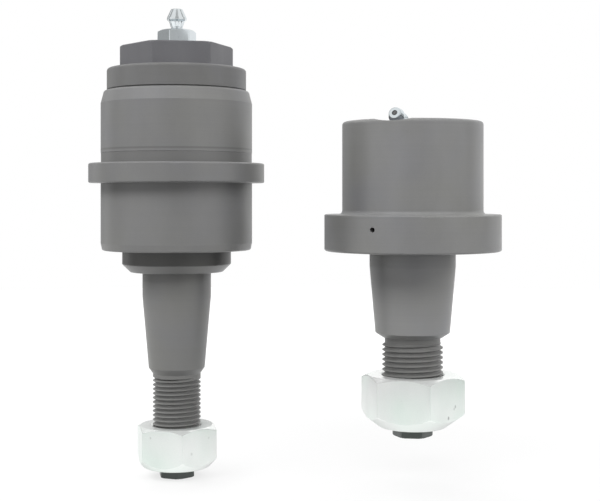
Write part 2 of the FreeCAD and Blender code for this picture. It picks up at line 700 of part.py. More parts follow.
def short_snap_ring():
    """Open snap ring in the bore's groove, with an eye at each end."""
    outer = SHORT.bore_radius + SNAP_RING_BITE
    inner = SHORT.bore_radius - SNAP_RING_WIDTH + SNAP_RING_BITE
    top = SHORT_COVER_TOP + SNAP_RING_THICKNESS
    ring = rod(outer, SHORT_COVER_TOP, top).cut(rod(inner, SHORT_COVER_TOP - MARGIN, top + MARGIN))
    half_gap = 0.5 * SNAP_RING_GAP_DEG
    wedge_corners = [ORIGIN]
    for side in (-1, 0, 1):
        wedge_corners.append(facing(SNAP_RING_AZIMUTH_DEG + side * half_gap) * (2 * outer))
    wedge_corners.append(ORIGIN)
    wedge = Part.Face(Part.makePolygon(wedge_corners)).extrude(UP * (top + MARGIN))
    ring = ring.cut(wedge)
    eye_reach = inner - SNAP_RING_EYE_INSET
    eye_turn = half_gap + math.degrees(SNAP_RING_EYE_RADIUS / eye_reach)
    for side in (-1, 1):
        centre = facing(SNAP_RING_AZIMUTH_DEG + side * eye_turn) * eye_reach
        eye = rod(SNAP_RING_EYE_RADIUS, SHORT_COVER_TOP, top)
        hole = rod(SNAP_RING_EYE_HOLE_RADIUS, SHORT_COVER_TOP - MARGIN, top + MARGIN)
        ring = ring.fuse(eye.translated(centre)).cut(hole.translated(centre))
    return ring.removeSplitter()


class CheckValve:
    """Ball and spring inside a nipple whose mouth lies at tip_height on the Z axis."""

    def __init__(self, tip_height):
        socket = CHECK_BALL_RADIUS + CHECK_BALL_CLEARANCE
        rise = math.sqrt(socket ** 2 - CHECK_MOUTH_RADIUS ** 2)
        self.tip_height = tip_height
        self.centre = tip_height - CHECK_MOUTH_LIP - rise
        self.spring_top = self.centre - CHECK_BALL_RADIUS
        self.shoulder = self.spring_top - CHECK_SPRING_LENGTH

    def bore(self, bottom):
        """Everything that is drilled out of the nipple, from its mouth to bottom."""
        socket_radius = CHECK_BALL_RADIUS + CHECK_BALL_CLEARANCE
        mouth = rod(CHECK_MOUTH_RADIUS, self.centre, self.tip_height + MARGIN)
        barrel = rod(socket_radius, self.shoulder, self.centre)
        socket = Part.makeSphere(socket_radius, V(0, 0, self.centre))
        drain = rod(CHECK_DRAIN_RADIUS, bottom - MARGIN, self.shoulder)
        return [mouth, barrel, socket, drain]

    def ball(self):
        """Hardened check ball, pressed against the mouth by the spring."""
        return Part.makeSphere(CHECK_BALL_RADIUS, V(0, 0, self.centre))

    def spring(self):
        """Small coil spring between the bore's shoulder and the ball."""
        coil_radius = CHECK_BALL_RADIUS - 2 * CHECK_SPRING_WIRE_RADIUS
        rise = CHECK_SPRING_LENGTH - 4 * CHECK_SPRING_WIRE_RADIUS
        helix = Part.makeLongHelix(rise / CHECK_SPRING_TURNS, rise, coil_radius)
        wire = Part.Wire(Part.makeCircle(CHECK_SPRING_WIRE_RADIUS, V(coil_radius, 0, 0), V(0, 1, 0)))
        coil = Part.Wire(helix.Edges).makePipeShell([wire], True, True)
        return coil.translated(V(0, 0, self.shoulder + 2 * CHECK_SPRING_WIRE_RADIUS))


def nipple(foot, neck_start, neck_radius, collar_radius, head_radius, tip_radius, head_height, top):
    """Hollow-to-be nipple: a foot outline, a neck, a lipped head and a blunt tip.

    The neck widens from neck_radius at its foot to collar_radius under the head.
    """
    return turned([(0, foot[0][1])] + foot + [
        (neck_radius, neck_start, NIPPLE_NECK_ROUND),
        (collar_radius, head_height - NIPPLE_NECK_DROP, NIPPLE_NECK_ROUND),
        (head_radius, head_height - NIPPLE_LIP_DROP, NIPPLE_LIP_ROUND),
        (head_radius, head_height + NIPPLE_LIP_RISE, NIPPLE_HEAD_ROUND),
        (tip_radius, top, NIPPLE_HEAD_ROUND),
        (0, top),
    ])


TALL_FITTING_TOP = TALL_CAP_TOP + FITTING_HEX_HEIGHT + FITTING_NIPPLE_LENGTH
TALL_VALVE = CheckValve(TALL_FITTING_TOP)
ELBOW_VALVE = CheckValve(ELBOW_NIPPLE_LENGTH)


def tall_grease_fitting():
    """Straight lubrication fitting: taper stem, hexagon, neck and mushroom head."""
    hex_top = TALL_CAP_TOP + FITTING_HEX_HEIGHT
    reach = FITTING_HEX_FLATS * HEX_REACH
    head_height = TALL_FITTING_TOP - FITTING_HEAD_DROP
    hexagon_bar = hexagon(FITTING_HEX_FLATS, TALL_CAP_TOP, hex_top, FITTING_HEX_CORNER_DEG)
    envelope = turned([
        (0, TALL_CAP_TOP),
        (reach, TALL_CAP_TOP),
        (reach, hex_top - FITTING_HEX_CHAMFER),
        (0.5 * FITTING_HEX_FLATS - FITTING_HEX_INSET, hex_top),
        (0, hex_top),
    ])
    stem = turned([
        (0, TALL_CAP_TOP - FITTING_STEM_LENGTH),
        (FITTING_STEM_RADIUS - FITTING_STEM_TAPER, TALL_CAP_TOP - FITTING_STEM_LENGTH),
        (FITTING_STEM_RADIUS, TALL_CAP_TOP - FITTING_STEM_PARALLEL),
        (FITTING_STEM_RADIUS, TALL_CAP_TOP),
        (0, TALL_CAP_TOP),
    ])
    foot = [(FITTING_FLARE_RADIUS, hex_top - MARGIN), (FITTING_FLARE_RADIUS, hex_top)]
    upper = nipple(foot, hex_top + FITTING_FLARE_HEIGHT, FITTING_NECK_RADIUS, FITTING_COLLAR_RADIUS,
                   FITTING_HEAD_RADIUS, FITTING_TIP_RADIUS, head_height, TALL_FITTING_TOP)
    body = stem.fuse([hexagon_bar.common(envelope), upper])
    return body.cut(TALL_VALVE.bore(TALL_CAP_TOP - FITTING_STEM_LENGTH)).removeSplitter()


def elbow_placement():
    """Place of the angled nipple: its Z axis leaves the elbow's centre."""
    lean = math.radians(ELBOW_ANGLE_DEG)
    direction = facing(ELBOW_AZIMUTH_DEG) * math.sin(lean) + UP * math.cos(lean)
    base = V(-ELBOW_OFFSET, 0, SHORT_COVER_TOP + ELBOW_HEIGHT)
    return FreeCAD.Placement(base, FreeCAD.Rotation(UP, direction))


def placed(shape, placement):
    """Copy of a shape moved by a placement."""
    moved = shape.copy()
    moved.Placement = placement.multiply(moved.Placement)
    return moved


def short_grease_fitting():
    """Angled lubrication fitting: hexagon on the cover, elbow and inclined nipple."""
    base = SHORT_COVER_TOP
    hex_top = base + ELBOW_HEX_HEIGHT
    foot = hexagon(ELBOW_HEX_FLATS, base, hex_top, 0.0)
    upright = turned([
        (0, base - SHORT_COVER_THICKNESS),
        (ELBOW_STEM_RADIUS, base - SHORT_COVER_THICKNESS),
        (ELBOW_STEM_RADIUS, base),
        (ELBOW_BODY_RADIUS, base),
        (ELBOW_BODY_RADIUS, base + ELBOW_HEIGHT),
        (0, base + ELBOW_HEIGHT),
    ])
    bend = Part.makeSphere(ELBOW_BODY_RADIUS, V(0, 0, base + ELBOW_HEIGHT))
    standing = foot.fuse([upright, bend]).translated(V(-ELBOW_OFFSET, 0, 0))
    head_height = ELBOW_NIPPLE_LENGTH - ELBOW_HEAD_DROP
    shank = [(ELBOW_BODY_RADIUS, 0), (ELBOW_BODY_RADIUS, ELBOW_SHANK_LENGTH)]
    inclined = nipple(shank, ELBOW_NECK_START, ELBOW_NECK_RADIUS, ELBOW_NECK_RADIUS,
                      ELBOW_HEAD_RADIUS, ELBOW_TIP_RADIUS, head_height, ELBOW_NIPPLE_LENGTH)
    fitting = standing.fuse(placed(inclined, elbow_placement()))
    drilled = [placed(tool, elbow_placement()) for tool in ELBOW_VALVE.bore(MARGIN)]
    feed = rod(CHECK_DRAIN_RADIUS, base - SHORT_COVER_THICKNESS - MARGIN, base + ELBOW_HEIGHT)
    drilled.append(feed.translated(V(-ELBOW_OFFSET, 0, 0)))
    return fitting.cut(drilled).removeSplitter()


def tall_nodes():
    """All pieces of the tall joint, by name."""
    groove = TALL_PLUG_BOTTOM + SEAL_GROOVE_RISE
    washer_hole = TALL_SEAT_HOLE_RADIUS + WASHER_HOLE_MARGIN
    washer_rim = TALL.bore_radius - WASHER_RIM_MARGIN
    return {
        "tall_housing": tall_housing(),
        "tall_lower_seat": TALL.lower_seat(),
        "tall_upper_seat": TALL.upper_seat(TALL_SEAT_RISE, TALL_SEAT_HOLE_RADIUS),
        "tall_preload_washer": disc_washer(TALL_SEAT_TOP, washer_hole, washer_rim, TALL_WASHER_THICKNESS),
        "tall_hex_cap": tall_hex_cap(),
        "tall_cap_seal": round_seal(TALL.bore_radius, TALL_PLUG_RADIUS, groove),
        "tall_lock_ring": tall_lock_ring(),
        "tall_grease_fitting": tall_grease_fitting(),
        "tall_check_ball": TALL_VALVE.ball(),
        "tall_check_spring": TALL_VALVE.spring(),
        "tall_ball_stud": TALL_STUD.shape(TALL_BALL_FLAT_HEIGHT),
        "tall_lock_nut": lock_nut(TALL_STUD, TALL_NUT_FLATS, TALL_NUT_HEX_HEIGHT,
                                  TALL_NUT_SHOULDER_INSET, TALL_THREAD_PITCH, TALL_NUT_CORNER_DEG),
    }


def short_nodes():
    """All pieces of the short joint, by name, about its own axis."""
    cover_radius = SHORT.bore_radius - BORE_CLEARANCE
    washer_hole = SHORT_SEAT_HOLE_RADIUS + WASHER_HOLE_MARGIN
    washer_rim = SHORT.bore_radius - WASHER_RIM_MARGIN
    return {
        "short_housing": short_housing(),
        "short_lower_seat": SHORT.lower_seat(),
        "short_upper_seat": SHORT.upper_seat(SHORT_SEAT_RISE, SHORT_SEAT_HOLE_RADIUS),
        "short_preload_washer": disc_washer(SHORT_SEAT_TOP, washer_hole, washer_rim,
                                            SHORT_WASHER_THICKNESS),
        "short_cover_plate": short_cover_plate(),
        "short_cover_seal": round_seal(SHORT.bore_radius, cover_radius, cover_groove_bottom()),
        "short_snap_ring": short_snap_ring(),
        "short_grease_fitting": short_grease_fitting(),
        "short_check_ball": placed(ELBOW_VALVE.ball(), elbow_placement()),
        "short_check_spring": placed(ELBOW_VALVE.spring(), elbow_placement()),
        "short_ball_stud": SHORT_STUD.shape(SHORT_BALL_FLAT_HEIGHT),
        "short_lock_nut": lock_nut(SHORT_STUD, SHORT_NUT_FLATS, SHORT_NUT_HEX_HEIGHT,
                                   SHORT_NUT_SHOULDER_INSET, SHORT_THREAD_PITCH, SHORT_NUT_CORNER_DEG),
    }


def main():
    """Build every piece and write one file for each."""
    os.makedirs("parts", exist_ok=True)
    nodes = tall_nodes()
    for name, shape in short_nodes().items():
        nodes[name] = shape.translated(V(AXIS_SPACING, 0, -SHORT_SHOULDER_DROP))
    for name, shape in nodes.items():
        box = shape.BoundBox
        print(f"{name:22s} valid {shape.isValid()} solids {len(shape.Solids)} volume {shape.Volume:9.1f} "
              f"x {box.XMin:7.2f} {box.XMax:7.2f} z {box.ZMin:8.2f} {box.ZMax:7.2f}")
        shape.exportStep(f"parts/{name}.step")


main()
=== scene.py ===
"""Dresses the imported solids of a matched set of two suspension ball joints.

The tall joint stands on the set's origin and the short one beside it. Studs, nuts,
the hexagonal cap, the straight lubrication fitting and the check springs are modelled
here, with real threads and broken edges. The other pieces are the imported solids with
their finishes. Sizes are in millimetres, as on a drawing, unless a line says metres,
and turn to metres where a mesh is made.
"""

import json
import logging
import math
from collections.abc import Callable, Iterator, Sequence
from contextlib import contextmanager
from dataclasses import dataclass
from enum import Enum

import bpy
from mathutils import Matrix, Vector

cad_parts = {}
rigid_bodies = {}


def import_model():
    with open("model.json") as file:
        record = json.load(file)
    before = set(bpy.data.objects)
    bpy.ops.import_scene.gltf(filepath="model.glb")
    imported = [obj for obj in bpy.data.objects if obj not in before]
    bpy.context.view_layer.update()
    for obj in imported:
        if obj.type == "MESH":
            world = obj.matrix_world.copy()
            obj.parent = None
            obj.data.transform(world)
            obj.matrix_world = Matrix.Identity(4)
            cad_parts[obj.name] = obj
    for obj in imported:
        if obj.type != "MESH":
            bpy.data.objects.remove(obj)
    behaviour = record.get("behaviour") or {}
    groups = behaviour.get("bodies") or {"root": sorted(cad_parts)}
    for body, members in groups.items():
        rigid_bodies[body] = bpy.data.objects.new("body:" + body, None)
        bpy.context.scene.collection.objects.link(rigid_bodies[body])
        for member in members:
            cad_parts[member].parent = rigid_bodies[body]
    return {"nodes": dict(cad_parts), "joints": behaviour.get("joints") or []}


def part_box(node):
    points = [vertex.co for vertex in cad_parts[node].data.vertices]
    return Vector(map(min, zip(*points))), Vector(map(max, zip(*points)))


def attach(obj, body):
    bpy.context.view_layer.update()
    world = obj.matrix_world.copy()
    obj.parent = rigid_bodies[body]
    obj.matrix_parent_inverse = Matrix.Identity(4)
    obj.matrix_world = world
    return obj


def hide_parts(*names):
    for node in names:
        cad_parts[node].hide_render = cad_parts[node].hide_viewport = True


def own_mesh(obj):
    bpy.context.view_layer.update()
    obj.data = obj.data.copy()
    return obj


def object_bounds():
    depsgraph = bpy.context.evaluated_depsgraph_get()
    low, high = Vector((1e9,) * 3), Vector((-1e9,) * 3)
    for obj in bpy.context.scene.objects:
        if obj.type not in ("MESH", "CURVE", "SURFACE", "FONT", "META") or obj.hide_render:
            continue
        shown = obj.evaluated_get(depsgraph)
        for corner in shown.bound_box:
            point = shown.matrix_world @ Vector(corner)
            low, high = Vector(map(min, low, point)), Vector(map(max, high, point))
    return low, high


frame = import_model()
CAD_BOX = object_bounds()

LOG = logging.getLogger("ball_joints")

MM = 0.001
TURN = 2.0 * math.pi
SAME_PLACE = 1e-4
NEAR = 0.01
MERGE_DISTANCE = 1e-7
CUT_DISTANCE = 1e-8
TINY = 1e-9
FINE_SEGMENTS = 144
SMALL_SEGMENTS = 96
ARC_STEP_DEG = 10.0
ARC_ROOM_SHARE = 0.49
SMOOTH_LIMIT_DEG = 35.0
BEVEL_LIMIT_DEG = 24.0
VALVE_BALL_RADIUS = 1.4
VALVE_SPRING_ROOM = 4.6
GREASE_BORE_RADIUS = 0.8
WHITE = (1.0, 1.0, 1.0, 1.0)

Colour = tuple[float, float, float]
Object = bpy.types.Object


@dataclass(frozen=True)
class Corner:
    """One corner of a turned outline.

    Args:
        radius: Distance from the axis, in millimetres.
        height: Height in the set's frame, in millimetres.
        rounding: Radius that rounds the corner, or 0 for a sharp one.
    """

    radius: float
    height: float
    rounding: float = 0.0

    def place(self) -> Vector:
        """The corner as a point of the outline's plane."""
        return Vector((self.radius, self.height))


def rounded(outline: Sequence[Corner], closed: bool) -> list[Corner]:
    """Replaces each corner that has a rounding by short steps along its arc.

    Args:
        outline: Corners in order.
        closed: Whether the last corner joins the first.

    Returns:
        Corners without roundings.
    """
    outline = [
        corner for index, corner in enumerate(outline)
        if index == 0 or (corner.place() - outline[index - 1].place()).length > SAME_PLACE
    ]
    steps: list[Corner] = []
    count = len(outline)
    for index, corner in enumerate(outline):
        at_end = not closed and index in (0, count - 1)
        if corner.rounding <= 0.0 or at_end:
            steps.append(Corner(corner.radius, corner.height))
            continue
        here = corner.place()
        back = outline[index - 1].place() - here
        ahead = outline[(index + 1) % count].place() - here
        room = ARC_ROOM_SHARE * min(back.length, ahead.length)
        half = 0.5 * back.angle(ahead)
        reach = min(corner.rounding / math.tan(half), room)
        radius = reach * math.tan(half)
        middle = here + (back.normalized() + ahead.normalized()).normalized() * math.hypot(radius, reach)
        start = here + back.normalized() * reach - middle
        end = here + ahead.normalized() * reach - middle
        sweep = start.angle(end)
        pieces = max(2, math.ceil(math.degrees(sweep) / ARC_STEP_DEG))
        for piece in range(pieces + 1):
            share = piece / pieces
            between = start * math.sin((1 - share) * sweep) + end * math.sin(share * sweep)
            point = middle + between / math.sin(sweep)
            steps.append(Corner(point.x, point.y))
    return steps


def ball_arc(radius: float, centre: float, start_deg: float, end_deg: float, steps: int) -> list[Corner]:
    """Corners along a ball's outline.

    Args:
        radius: Radius of the ball.
        centre: Height of its centre.
        start_deg: First angle above the level of the centre.
        end_deg: Last angle above the level of the centre.
        steps: Number of steps between them.

    Returns:
        The corners, both ends included.
    """
    angles = [math.radians(start_deg + (end_deg - start_deg) * step / steps) for step in range(steps + 1)]
    return [Corner(radius * math.cos(angle), centre + radius * math.sin(angle)) for angle in angles]


def height_along(corners: Sequence[Corner]) -> Callable[[float], float]:
    """Height of an outline's stretch as a function of radius.

    Args:
        corners: Corners of the stretch, whose radii only rise or only fall.

    Returns:
        Function of a radius.
    """
    ordered = sorted(corners, key=lambda corner: corner.radius)

    def height(radius: float) -> float:
        """Height at a radius, level beyond the stretch's ends.

        Args:
            radius: The radius.

        Returns:
            The height there.
        """
        if radius <= ordered[0].radius:
            return ordered[0].height
        for low, high in zip(ordered, ordered[1:]):
            if radius <= high.radius:
                share = (radius - low.radius) / max(high.radius - low.radius, TINY)
                return low.height + share * (high.height - low.height)
        return ordered[-1].height

    return height


def deselect_all() -> None:
    """Leaves nothing selected, so that an operator acts on its own piece alone."""
    for other in bpy.context.view_layer.objects:
        other.select_set(False)


def take_up(piece: Object) -> None:
    """Makes a piece the only selected and the active one.

    Args:
        piece: The piece.
    """
    deselect_all()
    piece.select_set(True)
    bpy.context.view_layer.objects.active = piece


def named(name: str) -> Object:
    """Names the piece that an operator has just made, and its mesh.

    Args:
        name: The name.

    Returns:
        The piece.
    """
    piece = bpy.context.active_object
    piece.name = name
    piece.data.name = name
    return piece


def settle(piece: Object) -> None:
    """Moves a piece's place, turn and scale into its mesh."""
    take_up(piece)
    bpy.ops.object.transform_apply(location=True, rotation=True, scale=True)


@contextmanager
def editing(piece: Object) -> Iterator[None]:
    """Opens a piece in edit mode with all of it selected, and closes it afterwards.

    Args:
        piece: The piece.

    Returns:
        The context in which the piece is open.
    """
    take_up(piece)
    bpy.ops.object.mode_set(mode="EDIT")
    bpy.ops.mesh.select_all(action="SELECT")
    yield
    bpy.ops.object.mode_set(mode="OBJECT")


def apply_modifier(piece: Object, kind: str, **settings: object) -> None:
    """Gives a piece one modifier and applies it.

    Args:
        piece: The piece.
        kind: Kind of the modifier.
        settings: Its properties, in the order in which they are set.
    """
    take_up(piece)
    modifier = piece.modifiers.new(kind.lower(), kind)
    for name, value in settings.items():
        setattr(modifier, name, value)
    bpy.ops.object.modifier_apply(modifier=modifier.name)


def close_and_face_out(piece: Object) -> None:
    """Merges a piece's doubled points and turns all its faces outwards.

    Args:
        piece: The piece.
    """
    with editing(piece):
        bpy.ops.mesh.remove_doubles(threshold=MERGE_DISTANCE)
        bpy.ops.mesh.normals_make_consistent(inside=False)


def break_edges(piece: Object, width: float, segments: int = 3) -> None:
    """Rounds every sharp edge of a piece a little.

    Args:
        piece: The piece.
        width: Width of the rounding, in millimetres.
        segments: Faces across the rounding.
    """
    apply_modifier(
        piece, "BEVEL", width=width * MM, segments=segments, limit_method="ANGLE",
        angle_limit=math.radians(BEVEL_LIMIT_DEG),
    )


def smooth(piece: Object) -> None:
    """Shades a piece smooth, apart from its sharp edges."""
    take_up(piece)
    bpy.ops.object.shade_smooth_by_angle(angle=math.radians(SMOOTH_LIMIT_DEG))


def joined(pieces: Sequence[Object], name: str) -> Object:
    """Joins closed shells that make up one forged piece.

    Args:
        pieces: The shells.
        name: Name of the whole.

    Returns:
        The joined piece.
    """
    deselect_all()
    for piece in pieces:
        piece.select_set(True)
    bpy.context.view_layer.objects.active = pieces[0]
    bpy.ops.object.join()
    return named(name)


@dataclass(frozen=True)
class Lathe:
    """Turns outlines about an upright axis, ring by ring.

    Args:
        axis_x: Place of the axis along X, in millimetres.
        segments: Faces round a full turn.
        phase_deg: Turn of the first column, so that columns meet a hexagon's corners.
    """

    axis_x: float
    segments: int = FINE_SEGMENTS
    phase_deg: float = 0.0

    def turned(self, name: str, outline: Sequence[Corner], closed: bool = False) -> Object:
        """Turns one outline.

        Args:
            name: Name of the piece.
            outline: Corners in order. An open outline is capped at both ends.
            closed: Whether the last corner joins the first, as on a ring.

        Returns:
            The turned piece, with its faces outwards.
        """
        rings = rounded(outline, closed)
        first = rings[0]
        deselect_all()
        bpy.ops.mesh.primitive_circle_add(
            vertices=self.segments,
            radius=first.radius * MM,
            fill_type="NOTHING" if closed else "NGON",
            location=(self.axis_x * MM, 0.0, first.height * MM),
            rotation=(0.0, 0.0, math.radians(self.phase_deg)),
        )
        piece = named(name)
        settle(piece)
        stops = rings[1:] + ([first] if closed else [])
        with editing(piece):
            for before, after in zip(rings, stops):
                rise = (0.0, 0.0, (after.height - before.height) * MM)
                growth = after.radius / before.radius
                bpy.ops.mesh.extrude_region_move(TRANSFORM_OT_translate={"value": rise})
                bpy.ops.transform.resize(
                    value=(growth, growth, 1.0),
                    center_override=(self.axis_x * MM, 0.0, after.height * MM),
                )
        close_and_face_out(piece)
        return piece


@dataclass(frozen=True)
class Hexagon:
    """A hexagonal section.

    Args:
        flats: Width across the flats, in millimetres.
        corner_deg: Direction of one corner, from the front (-Y) towards +X.
    """

    flats: float
    corner_deg: float

    @property
    def reach(self) -> float:
        """Radius of the corners."""
        return self.flats / math.sqrt(3.0)

    def radius_towards(self, angle: float) -> float:
        """Radius of the hexagon in the direction of an angle from +X."""
        from_corner = (angle - math.radians(self.corner_deg - 90.0)) % (math.pi / 3.0)
        return 0.5 * self.flats / math.cos(from_corner - math.pi / 6.0)

    def drawn_in(self, across: Vector, inner: float) -> float:
        """New radius of a point that is drawn in as far as its flat asks.

        Args:
            across: The point, seen from the axis, in millimetres.
            inner: Radius inside which nothing moves.

        Returns:
            The radius.
        """
        wanted = self.radius_towards(math.atan2(across.y, across.x))
        return inner + (across.length - inner) * (wanted - inner) / (self.reach - inner)

    def press(
        self, blank: Object, axis_x: float, upper: Sequence[Corner], lower: Sequence[Corner], inner: float
    ) -> None:
        """Slides the outer rings of a turned blank along its ends onto the hexagon.

        Args:
            blank: The turned piece, whose outer radius is the corners' radius.
            axis_x: Place of its axis along X, in millimetres.
            upper: Outline of its upper end, out to the corners' radius.
            lower: Outline of its lower end, out to the corners' radius.
            inner: Radius inside which nothing moves.
        """
        top = height_along(upper)
        bottom = height_along(lower)
        highest = max(corner.height for corner in upper) + SAME_PLACE
        lowest = min(corner.height for corner in lower) - SAME_PLACE
        for vertex in blank.data.vertices:
            across = Vector((vertex.co.x / MM - axis_x, vertex.co.y / MM))
            radius = across.length
            height = vertex.co.z / MM
            if radius <= inner + SAME_PLACE or not lowest <= height <= highest:
                continue
            moved = self.drawn_in(across, inner)
            tall = top(radius) - bottom(radius)
            share = (height - bottom(radius)) / tall if tall > SAME_PLACE else 0.0
            across *= moved / radius
            vertex.co.x = (across.x + axis_x) * MM
            vertex.co.y = across.y * MM
            vertex.co.z = (bottom(moved) + share * (top(moved) - bottom(moved))) * MM


class ThreadEnd(Enum):
    """How a thread ends where it meets the shank."""

    RUNS_OUT = "the groove gets shallower until it is gone"
    UNDERCUT = "the crests drop to a groove of the root's radius"


@dataclass(frozen=True)
class Thread:
    """Right-hand outer thread with flat crests and roots.

    Args:
        radius: Radius of the crests, in millimetres.
        pitch: Rise of one turn.
        low: Height of the lower end.
        high: Height of the upper end.
        end: How the upper end meets the shank.
        turn_deg: Turn of the whole thread about its axis.
        plain: Length at the upper end that has no groove.
    """

    radius: float
    pitch: float
    low: float
    high: float
    end: ThreadEnd
    turn_deg: float = 0.0
    plain: float = 0.0

    SPARE_TURNS = 2
    CREST_SHARE = 0.125
    ROOT_SHARE = 0.25
    DEPTH_PER_PITCH = 0.5413
    RUNOUT_TURNS = 0.35
    LEAD_IN = 0.6

    @property
    def root(self) -> float:
        """Radius of the roots."""
        return self.radius - self.DEPTH_PER_PITCH * self.pitch

    def wound(self, name: str, axis_x: float) -> Object:
        """Winds the thread as a closed bar.

        Args:
            name: Name of the piece.
            axis_x: Place of its axis along X, in millimetres.

        Returns:
            The threaded bar.
        """
        flank = 0.5 * (1.0 - self.CREST_SHARE - self.ROOT_SHARE) * self.pitch
        start = self.low - self.SPARE_TURNS * self.pitch
        hops = [
            (0.0, self.CREST_SHARE * self.pitch),
            (self.root - self.radius, flank),
            (0.0, self.ROOT_SHARE * self.pitch),
            (self.radius - self.root, flank),
        ]
        deselect_all()
        bpy.ops.mesh.primitive_plane_add(size=MM)
        bar = named(name)
        with editing(bar):
            bpy.ops.mesh.merge(type="CENTER")
            bpy.ops.transform.translate(value=(self.radius * MM, 0.0, start * MM))
            for outward, rise in hops:
                bpy.ops.mesh.extrude_vertices_move(
                    TRANSFORM_OT_translate={"value": (outward * MM, 0.0, rise * MM)}
                )
        turns = math.ceil((self.high - self.low) / self.pitch) + 2 * self.SPARE_TURNS
        apply_modifier(
            bar, "SCREW", axis="Z", angle=TURN, screw_offset=self.pitch * MM, iterations=turns,
            steps=FINE_SEGMENTS, render_steps=FINE_SEGMENTS, use_merge_vertices=True,
            merge_threshold=MERGE_DISTANCE,
        )
        self._cut_ends(bar)
        self._shape_ends(bar)
        bar.location.x = axis_x * MM
        bar.rotation_euler.z = math.radians(self.turn_deg)
        settle(bar)
        close_and_face_out(bar)
        return bar

    def _cut_ends(self, bar: Object) -> None:
        """Cuts the wound surface off square at both ends and caps it.

        Args:
            bar: The wound bar, upright on the origin.
        """
        with editing(bar):
            for height, direction in ((self.high, 1.0), (self.low, -1.0)):
                bpy.ops.mesh.select_all(action="SELECT")
                bpy.ops.mesh.remove_doubles(threshold=MERGE_DISTANCE)
                bpy.ops.mesh.bisect(
                    plane_co=(0.0, 0.0, height * MM),
                    plane_no=(0.0, 0.0, direction),
                    use_fill=True,
                    clear_outer=True,
                    threshold=CUT_DISTANCE,
                )

    def _shape_ends(self, bar: Object) -> None:
        """Tapers the lower end and ends the upper one as its kind says.

        Args:
            bar: The wound bar with its ends cut, upright on the origin.
        """
        runout = self.RUNOUT_TURNS * self.pitch
        for vertex in bar.data.vertices:
            radius = math.hypot(vertex.co.x, vertex.co.y) / MM
            height = vertex.co.z / MM
            wanted = min(radius, self.radius - self.LEAD_IN + height - self.low)
            if self.end is ThreadEnd.RUNS_OUT:
                share = min(max((height - self.high + self.plain + runout) / runout, 0.0), 1.0)
                wanted += (self.radius - wanted) * share * share * (3.0 - 2.0 * share)
            else:
                wanted = min(wanted, self.root + self.high - height)
            vertex.co.x *= wanted / radius
            vertex.co.y *= wanted / radius


